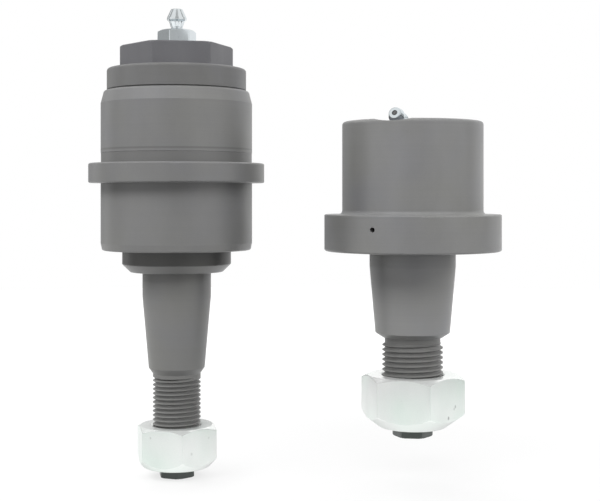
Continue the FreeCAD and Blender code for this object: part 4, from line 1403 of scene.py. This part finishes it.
    def build_nut(self, wardrobe: Wardrobe) -> Object:
        """Models the domed lock nut.

        Args:
            wardrobe: The finishes.

        Returns:
            The nut.
        """
        at = self._heights()
        reach = self.nut.reach
        bore = self.thread_radius + self.NUT_CLEARANCE
        hole = self.thread_radius - Thread.DEPTH_PER_PITCH * self.pitch
        chamfer = 0.5 * self.nut.flats - self.NUT_CHAMFER_INSET
        drop = (reach - chamfer) * math.tan(math.radians(self.NUT_CHAMFER_DEG))
        dome_start = at["nut_high"] - self.nut_hex_height
        shoulder = Corner(
            reach - self.nut_shoulder_inset, at["nut_low"] + self.NUT_SHOULDER_RISE, self.NUT_SHOULDER_ROUND
        )
        inside = [
            Corner(bore + self.NUT_LEAD_IN, at["nut_high"]),
            Corner(bore, at["nut_high"] - self.NUT_LEAD_IN),
            Corner(bore, at["nut_low"] + self.NUT_CROWN_HEIGHT),
            Corner(hole, at["nut_low"] + self.NUT_CROWN_HEIGHT),
            Corner(hole, at["nut_low"]),
        ]
        outline = [
            *inside,
            Corner(hole + self.NUT_LEAD_IN, at["nut_low"], self.NUT_HOLE_ROUND),
            shoulder,
            Corner(reach, dome_start, self.NUT_FLATS_ROUND),
            Corner(reach, at["nut_high"] - drop),
            Corner(chamfer, at["nut_high"], self.NUT_TOP_ROUND),
        ]
        lathe = Lathe(self.axis_x, FINE_SEGMENTS, self.nut.corner_deg)
        nut = lathe.turned(f"{self.side}_domed_nut", outline, closed=True)
        steps = rounded(outline, closed=True)
        inner = chamfer - self.NUT_CORE_INSET
        middle = 0.5 * (at["nut_high"] - drop + dome_start)
        dome_top = min(middle, dome_start + NEAR)
        dome_radius = hole + self.NUT_LEAD_IN - self.NUT_DOME_MARGIN
        top_radius = inner - self.NUT_TOP_MARGIN
        upper = [step for step in steps if step.height > middle and step.radius >= top_radius]
        lower = [step for step in steps if step.height <= dome_top and step.radius > dome_radius]
        self.nut.press(nut, self.axis_x, upper, lower, inner)
        break_edges(nut, self.NUT_EDGE)
        wardrobe.dress(nut, Surface.ZINC, Surface.ZINC_END, Surface.ZINC_DOME)
        flats, end, dome = range(3)
        for face in nut.data.polygons:
            if face.center.z / MM > middle:
                # Faces that look up take the lighter zinc copy: painted top light.
                face.material_index = end if face.normal.z > self.NUT_END_SLOPE else flats
            else:
                # Faces that look down take the brighter zinc copy: painted reflection of the pale floor.
                face.material_index = dome if face.normal.z < -self.NUT_DOME_SLOPE else flats
        seat_piece(nut, f"{self.side}_nut", "zinc_plate", f"{self.side}_lock_nut")
        return nut


@dataclass(frozen=True)
class AdjustingCap:
    """Hexagonal adjusting cap with a hollow plug below its head.

    Sizes are in millimetres, and heights are in the set's frame.

    Args:
        axis_x: Place of the axis along X.
        head: Section of the head.
        plug_radius: Radius of the plug.
        plug_round: Rounding of the plug's lower edge.
        chamber_radius: Radius of the hollow in the plug.
        chamber_top: Height of the hollow's top.
        grease_hole: Radius of the hole between hollow and fitting.
        socket_radius: Radius of the fitting's hole.
        socket_bottom: Height of that hole's bottom.
        core_inset: Distance from the flats to the part of the head that stays round.
        edge: Width of the rounding along the edges.
        corner_cut: Width of the sloping cut at the head's upper corners.
        corner_slope: Fall of that cut for one millimetre outwards.
    """

    axis_x: float = 0.0
    head: Hexagon = Hexagon(36.0, 40.0)
    plug_radius: float = 22.5
    plug_round: float = 0.6
    chamber_radius: float = 14.1
    chamber_top: float = 28.5
    grease_hole: float = 1.5
    socket_radius: float = 5.05
    socket_bottom: float = 34.5
    core_inset: float = 1.5
    edge: float = 0.4
    corner_cut: float = 1.0
    corner_slope: float = 0.5

    def build(self, wardrobe: Wardrobe) -> Object:
        """Models the cap.

        Args:
            wardrobe: The finishes.

        Returns:
            The cap.
        """
        low, high = (corner.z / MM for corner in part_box("tall_hex_cap"))
        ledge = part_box("tall_lock_ring")[1].z / MM
        reach = self.head.reach
        inner = 0.5 * self.head.flats - self.core_inset
        outline = [
            Corner(self.chamber_radius, low),
            Corner(self.chamber_radius, self.chamber_top),
            Corner(self.grease_hole, self.chamber_top),
            Corner(self.grease_hole, self.socket_bottom),
            Corner(self.socket_radius, self.socket_bottom),
            Corner(self.socket_radius, high),
            Corner(inner, high),
            Corner(reach - self.corner_cut, high),
            Corner(reach, high),
            Corner(reach, ledge),
            Corner(self.plug_radius, ledge),
            Corner(self.plug_radius, low, self.plug_round),
        ]
        lathe = Lathe(self.axis_x, FINE_SEGMENTS, self.head.corner_deg)
        cap = lathe.turned("hex_adjusting_cap", outline, closed=True)
        self._press_head(cap, ledge, inner)
        break_edges(cap, self.edge)
        self._cut_corners(cap, high)
        wardrobe.dress(cap, Surface.CAP)
        seat_piece(cap, "root", "cap_steel", "tall_hex_cap")
        return cap

    def _cut_corners(self, cap: Object, high: float) -> None:
        """Slopes the top of the head's corners down, as a turned chamfer does.

        Args:
            cap: The cap.
            high: Height of its top.
        """
        start = self.head.reach - self.corner_cut
        for vertex in cap.data.vertices:
            radius = math.hypot(vertex.co.x / MM - self.axis_x, vertex.co.y / MM)
            if radius > start and vertex.co.z / MM > high - self.corner_cut:
                vertex.co.z -= (radius - start) * self.corner_slope * MM

    def _press_head(self, cap: Object, ledge: float, inner: float) -> None:
        """Presses the head alone, so that the round plug below keeps its shape.

        Args:
            cap: The turned cap.
            ledge: Height of the head's lower face.
            inner: Radius inside which nothing moves.
        """
        for vertex in cap.data.vertices:
            across = Vector((vertex.co.x / MM - self.axis_x, vertex.co.y / MM))
            radius = across.length
            in_head = vertex.co.z / MM >= ledge - SAME_PLACE
            if not in_head or not inner + SAME_PLACE < radius <= self.head.reach + NEAR:
                continue
            across *= self.head.drawn_in(across, inner) / radius
            vertex.co.x = (across.x + self.axis_x) * MM
            vertex.co.y = across.y * MM


@dataclass(frozen=True)
class NippleForm:
    """Profile of a lubrication nipple, in millimetres.

    Args:
        shank_radius: Radius above the hexagon.
        shank_end: Height of the hexagon's top.
        neck_start: Height where the neck starts.
        neck_radius: Radius of the neck.
        collar_radius: Radius of the cone under the head.
        head_radius: Radius of the head.
        head_height: Height of the head's widest place.
        tip_radius: Radius of the flat tip.
        top: Height of the tip.
        mouth_radius: Radius of the mouth.
    """

    shank_radius: float
    shank_end: float
    neck_start: float
    neck_radius: float
    collar_radius: float
    head_radius: float
    head_height: float
    tip_radius: float
    top: float
    mouth_radius: float = 1.0
    mouth_depth: float = 0.15

    BALL_PLAY = 0.05
    SEAT_STEPS = 5
    COLLAR_BELOW_HEAD = 0.9
    HEAD_BELOW = 0.3
    HEAD_ABOVE = 0.5
    SHANK_ROUND = 0.2
    NECK_ROUND = 0.6
    COLLAR_ROUND = 0.4
    HEAD_LOWER_ROUND = 0.3
    HEAD_UPPER_ROUND = 0.5
    TIP_ROUND = 0.35

    def corners(self) -> list[Corner]:
        """Outline from the shank up over the head, into the mouth and down the valve's bore.

        Returns:
            The corners.
        """
        socket = VALVE_BALL_RADIUS + self.BALL_PLAY
        centre = self.top - self.mouth_depth - math.sqrt(socket ** 2 - self.mouth_radius ** 2)
        shoulder = centre - VALVE_BALL_RADIUS - VALVE_SPRING_ROOM
        mouth_deg = math.degrees(math.acos(self.mouth_radius / socket))
        return [
            Corner(self.shank_radius, self.shank_end, self.SHANK_ROUND),
            Corner(self.neck_radius, self.neck_start, self.NECK_ROUND),
            Corner(self.collar_radius, self.head_height - self.COLLAR_BELOW_HEAD, self.COLLAR_ROUND),
            Corner(self.head_radius, self.head_height - self.HEAD_BELOW, self.HEAD_LOWER_ROUND),
            Corner(self.head_radius, self.head_height + self.HEAD_ABOVE, self.HEAD_UPPER_ROUND),
            Corner(self.tip_radius, self.top, self.TIP_ROUND),
            Corner(self.mouth_radius, self.top),
            Corner(self.mouth_radius, self.top - self.mouth_depth),
            *ball_arc(socket, centre, mouth_deg, 0.0, self.SEAT_STEPS),
            Corner(socket, shoulder),
            Corner(GREASE_BORE_RADIUS, shoulder),
        ]


@dataclass(frozen=True)
class StraightFitting:
    """Straight lubrication fitting in the adjusting cap, with sizes in millimetres.

    Args:
        axis_x: Place of the axis along X.
        hexagon: Section of the hexagon.
        hex_height: Height of the hexagon.
        chamfer: Height of the chamfer on the hexagon's top.
        chamfer_inset: Distance from the flats to the chamfer's inner edge.
        core_inset: Distance from that edge to the part that stays round.
        neck_rise: Height of the neck's start above the hexagon.
        head_drop: Distance from the tip down to the head's widest place.
        stem_radius: Radius of the stem in the cap.
        stem_length: Length of the stem.
        stem_taper: How much the stem narrows.
        stem_plain: Length of the stem that doesn't narrow.
        stem_round: Rounding of the stem's end.
        edge: Width of the rounding along the edges.
    """

    axis_x: float = 0.0
    hexagon: Hexagon = Hexagon(12.4, -15.0)
    hex_height: float = 5.8
    chamfer: float = 0.7
    chamfer_inset: float = 0.3
    core_inset: float = 0.3
    neck_rise: float = 0.8
    head_drop: float = 3.7
    stem_radius: float = 5.0
    stem_length: float = 7.5
    stem_taper: float = 0.5
    stem_plain: float = 1.0
    stem_round: float = 0.3
    edge: float = 0.14

    def build(self, wardrobe: Wardrobe) -> Object:
        """Models the fitting.

        Args:
            wardrobe: The finishes.

        Returns:
            The fitting.
        """
        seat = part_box("tall_hex_cap")[1].z / MM
        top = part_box("tall_grease_fitting")[1].z / MM
        hex_top = seat + self.hex_height
        form = NippleForm(
            shank_radius=2.7, shank_end=hex_top, neck_start=hex_top + self.neck_rise, neck_radius=2.1,
            collar_radius=2.8, head_radius=3.6, head_height=top - self.head_drop, tip_radius=2.1, top=top,
        )
        reach = self.hexagon.reach
        flat_radius = 0.5 * self.hexagon.flats - self.chamfer_inset
        inner = flat_radius - self.core_inset
        bottom = seat - self.stem_length
        stem = [
            Corner(GREASE_BORE_RADIUS, bottom),
            Corner(self.stem_radius - self.stem_taper, bottom, self.stem_round),
            Corner(self.stem_radius, seat - self.stem_plain),
            Corner(self.stem_radius, seat),
            Corner(inner, seat),
            Corner(reach, seat),
            Corner(reach, hex_top - self.chamfer),
            Corner(flat_radius, hex_top),
            Corner(inner, hex_top),
        ]
        lathe = Lathe(self.axis_x, SMALL_SEGMENTS, self.hexagon.corner_deg)
        fitting = lathe.turned("straight_grease_fitting", [*stem, *form.corners()], closed=True)
        upper = [Corner(inner, hex_top), Corner(flat_radius, hex_top), Corner(reach, hex_top - self.chamfer)]
        lower = [Corner(inner, seat), Corner(reach, seat)]
        self.hexagon.press(fitting, self.axis_x, upper, lower, inner)
        break_edges(fitting, self.edge, 2)
        wardrobe.dress(fitting, Surface.FITTING)
        seat_piece(fitting, "root", "zinc_plate", "tall_grease_fitting")
        return fitting


@dataclass(frozen=True)
class ValveSpring:
    """Coil spring behind a fitting's check ball.

    Args:
        side: Which joint's fitting it is in.
        length: Room between the ball and the bore's shoulder, in millimetres.
        wire_radius: Radius of the wire.
        turns: Number of turns.
        travel: How far the ball is pushed in, which is not used.
        wire_sides: Faces round the wire.
        steps_per_turn: Faces along one turn.
    """

    side: str
    length: float = VALVE_SPRING_ROOM
    wire_radius: float = 0.16
    turns: int = 5
    travel: float = 1.0
    wire_sides: int = 12
    steps_per_turn: int = 32

    def build(self, wardrobe: Wardrobe) -> Object:
        """Models the spring.

        Args:
            wardrobe: The finishes.

        Returns:
            The spring.
        """
        joint = f"{self.side}_valve_open"
        axis = next(row["axis"] for row in frame["joints"] if row["name"] == joint)
        inward = Vector(axis).normalized()
        low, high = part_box(f"{self.side}_check_ball")
        shoulder = 0.5 * (low + high) + inward * (VALVE_BALL_RADIUS + self.length) * MM
        inset = 2.0 * self.wire_radius
        coil_radius = VALVE_BALL_RADIUS - inset
        deselect_all()
        bpy.ops.mesh.primitive_circle_add(
            vertices=self.wire_sides, radius=self.wire_radius * MM, fill_type="NOTHING",
            location=(coil_radius * MM, 0.0, inset * MM), rotation=(math.radians(90.0), 0.0, 0.0),
        )
        spring = named(f"{self.side}_valve_coil")
        settle(spring)
        steps = self.steps_per_turn * self.turns
        apply_modifier(
            spring, "SCREW", axis="Z", angle=TURN * self.turns,
            screw_offset=(self.length - 2.0 * inset) * MM, steps=steps, render_steps=steps,
        )
        with editing(spring):
            bpy.ops.mesh.fill_holes(sides=self.wire_sides)
        spring.location = shoulder
        spring.rotation_euler = (-inward).to_track_quat("Z", "Y").to_euler()
        settle(spring)
        close_and_face_out(spring)
        wardrobe.dress(spring, Surface.SPRING)
        seat_piece(spring, "root", "spring_steel", f"{self.side}_check_spring")
        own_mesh(spring)
        return spring


@dataclass(frozen=True)
class Softbox:
    """One soft lamp, aimed at the middle of the set.

    Args:
        azimuth_deg: Direction from the front towards +X.
        power: Power in watts.
        elevation_deg: Height above level.
        distance: Distance from the middle, in metres.
        width: Width in metres.
        height: Height in metres.
    """

    azimuth_deg: float
    power: float
    elevation_deg: float = 43.0
    distance: float = 0.9
    width: float = 0.55
    height: float = 0.34

    def place(self, middle: Vector) -> None:
        """Puts the lamp in the scene.

        Args:
            middle: Point that it is aimed at.
        """
        azimuth = math.radians(self.azimuth_deg)
        elevation = math.radians(self.elevation_deg)
        out = Vector((
            math.sin(azimuth) * math.cos(elevation),
            -math.cos(azimuth) * math.cos(elevation),
            math.sin(elevation),
        ))
        data = bpy.data.lights.new("softbox", "AREA")
        data.shape = "RECTANGLE"
        data.size = self.width
        data.size_y = self.height
        data.energy = self.power
        lamp = bpy.data.objects.new("softbox", data)
        lamp.location = middle + out * self.distance
        lamp.rotation_euler = (-out).to_track_quat("-Z", "Y").to_euler()
        lamp.visible_glossy = False
        bpy.context.scene.collection.objects.link(lamp)


@dataclass(frozen=True)
class DarkCard:
    """Upright grey card that is seen only in the set's own reflections.

    Args:
        azimuth_deg: Direction from the front towards +X.
        half_angle_deg: Half of the angle that it fills, seen from the set.
        grey: Its brightness.
        distance: Distance from the middle, in metres.
        height: Height in metres.
    """

    azimuth_deg: float
    half_angle_deg: float
    grey: float
    distance: float = 0.7
    height: float = 1.6

    def place(self, middle: Vector, low: float) -> Object:
        """Stands the card on the floor.

        Args:
            middle: Middle of the set.
            low: Height of the floor, in metres.

        Returns:
            The card.
        """
        azimuth = math.radians(self.azimuth_deg)
        width = 2.0 * self.distance * math.tan(math.radians(self.half_angle_deg))
        deselect_all()
        bpy.ops.mesh.primitive_plane_add(
            size=1.0,
            location=(
                middle.x + math.sin(azimuth) * self.distance,
                middle.y - math.cos(azimuth) * self.distance,
                low + 0.5 * self.height,
            ),
            rotation=(math.radians(90.0), 0.0, azimuth),
        )
        card = named("dark_card")
        card.scale = (width, self.height, 1.0)
        settle(card)
        card.visible_camera = False
        card.visible_diffuse = False
        card.visible_shadow = False
        card.visible_transmission = False
        material, tree = new_material("dark_card")
        tree.feed(tree.add("ShaderNodeOutputMaterial"), Surface=tree.emission(self.grey))
        card.data.materials.append(material)
        return card


@dataclass(frozen=True)
class Studio:
    """White room, floor, lamps, cards and camera.

    Args:
        middle: Point that the lamps are aimed at, in metres.
        image_width: Width of the photograph, in pixels.
        scale_mm: Width of one of its pixels at the set, in millimetres.
        distance_mm: Distance from the camera to the set's axes.
        camera_x_mm: Place of the camera along X.
        horizon_mm: Height of the camera.
        centre_mm: Height that the photograph's middle row shows.
        sensor_mm: Width of the camera's sensor.
        near_m: Nearest distance that the camera sees, in metres.
        far_m: Farthest distance that it sees, in metres.
        floor_drop_mm: Gap under the set.
        floor_radius: Radius of the floor, in metres.
        ambient: Strength of the white room as a lamp.
        floor_diffuse: Colour of the floor where it catches light and shadow.
        floor_glow: Glow of the floor under the set, as the camera sees it.
        floor_fade: Distances from the middle, in metres, over which the glow rises to white.
        softboxes: The lamps.
        cards: The cards.
    """

    middle: tuple[float, float, float] = (0.043, 0.0, -0.03)
    image_width: int = 600
    scale_mm: float = 0.367
    distance_mm: float = 440.0
    camera_x_mm: float = 45.2
    horizon_mm: float = -11.5
    centre_mm: float = -31.9
    sensor_mm: float = 36.0
    near_m: float = 0.02
    far_m: float = 20.0
    floor_drop_mm: float = 0.05
    floor_radius: float = 0.9
    ambient: float = 0.10
    floor_diffuse: float = 0.17
    floor_glow: float = 0.75
    floor_fade: tuple[float, float] = (0.12, 0.5)
    softboxes: tuple[Softbox, ...] = (
        Softbox(0.0, 2.75), Softbox(-50.0, 4.3), Softbox(48.0, 0.9, distance=0.45), Softbox(-95.0, 3.1),
        Softbox(95.0, 0.7, elevation_deg=20.0, distance=0.4), Softbox(-140.0, 3.1), Softbox(140.0, 1.3),
        Softbox(180.0, 3.1),
    )
    cards: tuple[DarkCard, ...] = (
        DarkCard(4.0, 21.0, 0.55), DarkCard(-98.0, 11.0, 0.42), DarkCard(99.0, 8.0, 0.38),
        DarkCard(-152.0, 25.0, 0.4),
    )

    def camera(self) -> None:
        """Sets the camera level in front of the set, shifted down as the photograph is."""
        seen = self.image_width * self.scale_mm
        data = bpy.data.cameras.new("photo_camera")
        data.sensor_width = self.sensor_mm
        data.lens = self.sensor_mm * self.distance_mm / seen
        data.shift_y = (self.centre_mm - self.horizon_mm) / seen
        data.clip_start = self.near_m
        data.clip_end = self.far_m
        camera = bpy.data.objects.new("photo_camera", data)
        camera.location = (self.camera_x_mm * MM, -self.distance_mm * MM, self.horizon_mm * MM)
        camera.rotation_euler = (math.radians(90.0), 0.0, 0.0)
        bpy.context.scene.collection.objects.link(camera)
        bpy.context.scene.camera = camera

    @staticmethod
    def _lookers(tree: ShaderTree) -> tuple[bpy.types.NodeSocket, bpy.types.NodeSocket]:
        """Two masks: 1 where the camera looks, and 1 where metal or glass does.

        Args:
            tree: The tree that they are for.

        Returns:
            Both output sockets.
        """
        path = tree.add("ShaderNodeLightPath")
        mirrored = tree.math("MAXIMUM", path.outputs["Is Glossy Ray"], path.outputs["Is Transmission Ray"])
        return path.outputs["Is Camera Ray"], mirrored

    def world(self) -> None:
        """White surroundings as seen directly and in metal, dimmer as a lamp."""
        world = bpy.data.worlds.new("white_room")
        bpy.context.scene.world = world
        world.use_nodes = True
        tree = ShaderTree(world.node_tree)
        seen = tree.math("MAXIMUM", *self._lookers(tree))
        background = tree.add("ShaderNodeBackground")
        tree.feed(background, Color=WHITE, Strength=tree.spread(seen, 0.0, 1.0, self.ambient, 1.0))
        tree.feed(tree.add("ShaderNodeOutputWorld"), Surface=background.outputs["Background"])

    def floor(self) -> float:
        """Round floor that keeps the set's soft shadow and fades into white.

        Returns:
            Its height in metres.
        """
        low = CAD_BOX[0].z - self.floor_drop_mm * MM
        deselect_all()
        bpy.ops.mesh.primitive_circle_add(
            vertices=FINE_SEGMENTS, radius=self.floor_radius, fill_type="NGON",
            location=(self.middle[0], 0.0, low),
        )
        floor = named("studio_floor")
        material, tree = new_material("pale_floor")
        length = tree.add("ShaderNodeVectorMath", operation="LENGTH")
        tree.put(length.inputs[0], tree.add("ShaderNodeTexCoord").outputs["Object"])
        fade = tree.spread(length.outputs["Value"], *self.floor_fade, self.floor_glow, 1.0)
        diffuse = tree.add("ShaderNodeBsdfDiffuse")
        grey = self.floor_diffuse
        tree.feed(diffuse, Color=(grey, grey, grey, 1.0))
        camera, mirrored = self._lookers(tree)
        seen = tree.math("MAXIMUM", tree.math("MULTIPLY", camera, fade), mirrored)
        both = tree.add("ShaderNodeAddShader")
        tree.put(both.inputs[0], diffuse.outputs[0])
        tree.put(both.inputs[1], tree.emission(seen))
        tree.feed(tree.add("ShaderNodeOutputMaterial"), Surface=both.outputs[0])
        floor.data.materials.append(material)
        return low

    def set_up(self) -> None:
        """Makes the whole studio."""
        middle = Vector(self.middle)
        self.camera()
        self.world()
        low = self.floor()
        for softbox in self.softboxes:
            softbox.place(middle)
        [card.place(middle, low) for card in self.cards]
        bpy.context.scene.view_settings.view_transform = "Standard"


NODE_SURFACES = {
    "tall_housing": Surface.TALL_HOUSING,
    "tall_lock_ring": Surface.LOCK_RING,
    "tall_lower_seat": Surface.HARDENED,
    "tall_upper_seat": Surface.HARDENED,
    "tall_preload_washer": Surface.SPRING,
    "tall_cap_seal": Surface.RUBBER,
    "tall_check_ball": Surface.GREASED,
    "short_housing": Surface.SHORT_HOUSING,
    "short_lower_seat": Surface.HARDENED,
    "short_upper_seat": Surface.HARDENED,
    "short_preload_washer": Surface.SPRING,
    "short_cover_plate": Surface.CAP,
    "short_cover_seal": Surface.RUBBER,
    "short_snap_ring": Surface.SPRING,
    "short_grease_fitting": Surface.FITTING,
    "short_check_ball": Surface.GREASED,
}

TALL_STUD = StudAndNut(
    side="tall", axis_x=0.0, ball_radius=18.3, ball_centre=-19.0, ball_flat=-4.0, neck_radius=11.0,
    stud_radius=12.5, flare=4.0, below_lip=9.0, taper_length=26.0, taper_chamfer=2.1, end_step=0.0,
    undercut_length=1.3, undercut_depth=0.0, thread_radius=8.73, pitch=1.5875,
    thread_end=ThreadEnd.RUNS_OUT, thread_turn_deg=263.0, finish=Surface.TALL_STUD,
    nut=Hexagon(26.99, 13.2), nut_hex_height=11.4, nut_shoulder_inset=3.6, tip=Hexagon(12.0, 10.8),
)
SHORT_STUD = StudAndNut(
    side="short", axis_x=86.5, ball_radius=18.5, ball_centre=-9.5, ball_flat=5.0, neck_radius=12.0,
    stud_radius=15.75, flare=5.5, below_lip=5.6, taper_length=24.2, taper_chamfer=1.8, end_step=-0.2,
    undercut_length=1.8, undercut_depth=0.95, thread_radius=11.11, pitch=1.814,
    thread_end=ThreadEnd.UNDERCUT, thread_turn_deg=-58.0, finish=Surface.SHORT_STUD,
    nut=Hexagon(33.34, 13.8), nut_hex_height=13.8, nut_shoulder_inset=7.05, tip=Hexagon(12.7, 22.1),
)


def main() -> None:
    """Builds the studio, dresses the solids and models the new pieces."""
    logging.basicConfig(level=logging.INFO, format="%(message)s")
    Studio().set_up()
    wardrobe = Wardrobe()
    for name, surface in NODE_SURFACES.items():
        wardrobe.dress_node(name, surface)
        LOG.info("solid %s takes %s", name, surface.value.name)
    pieces: list[Object] = []
    for joint in (TALL_STUD, SHORT_STUD):
        spring = ValveSpring(joint.side)
        pieces += [joint.build_stud(wardrobe), joint.build_nut(wardrobe), spring.build(wardrobe)]
    pieces += [AdjustingCap().build(wardrobe), StraightFitting().build(wardrobe)]
    for piece in pieces:
        LOG.info("piece %s has %d faces", piece.name, len(piece.data.polygons))
    deselect_all()


if __name__ == "__main__":
    main()
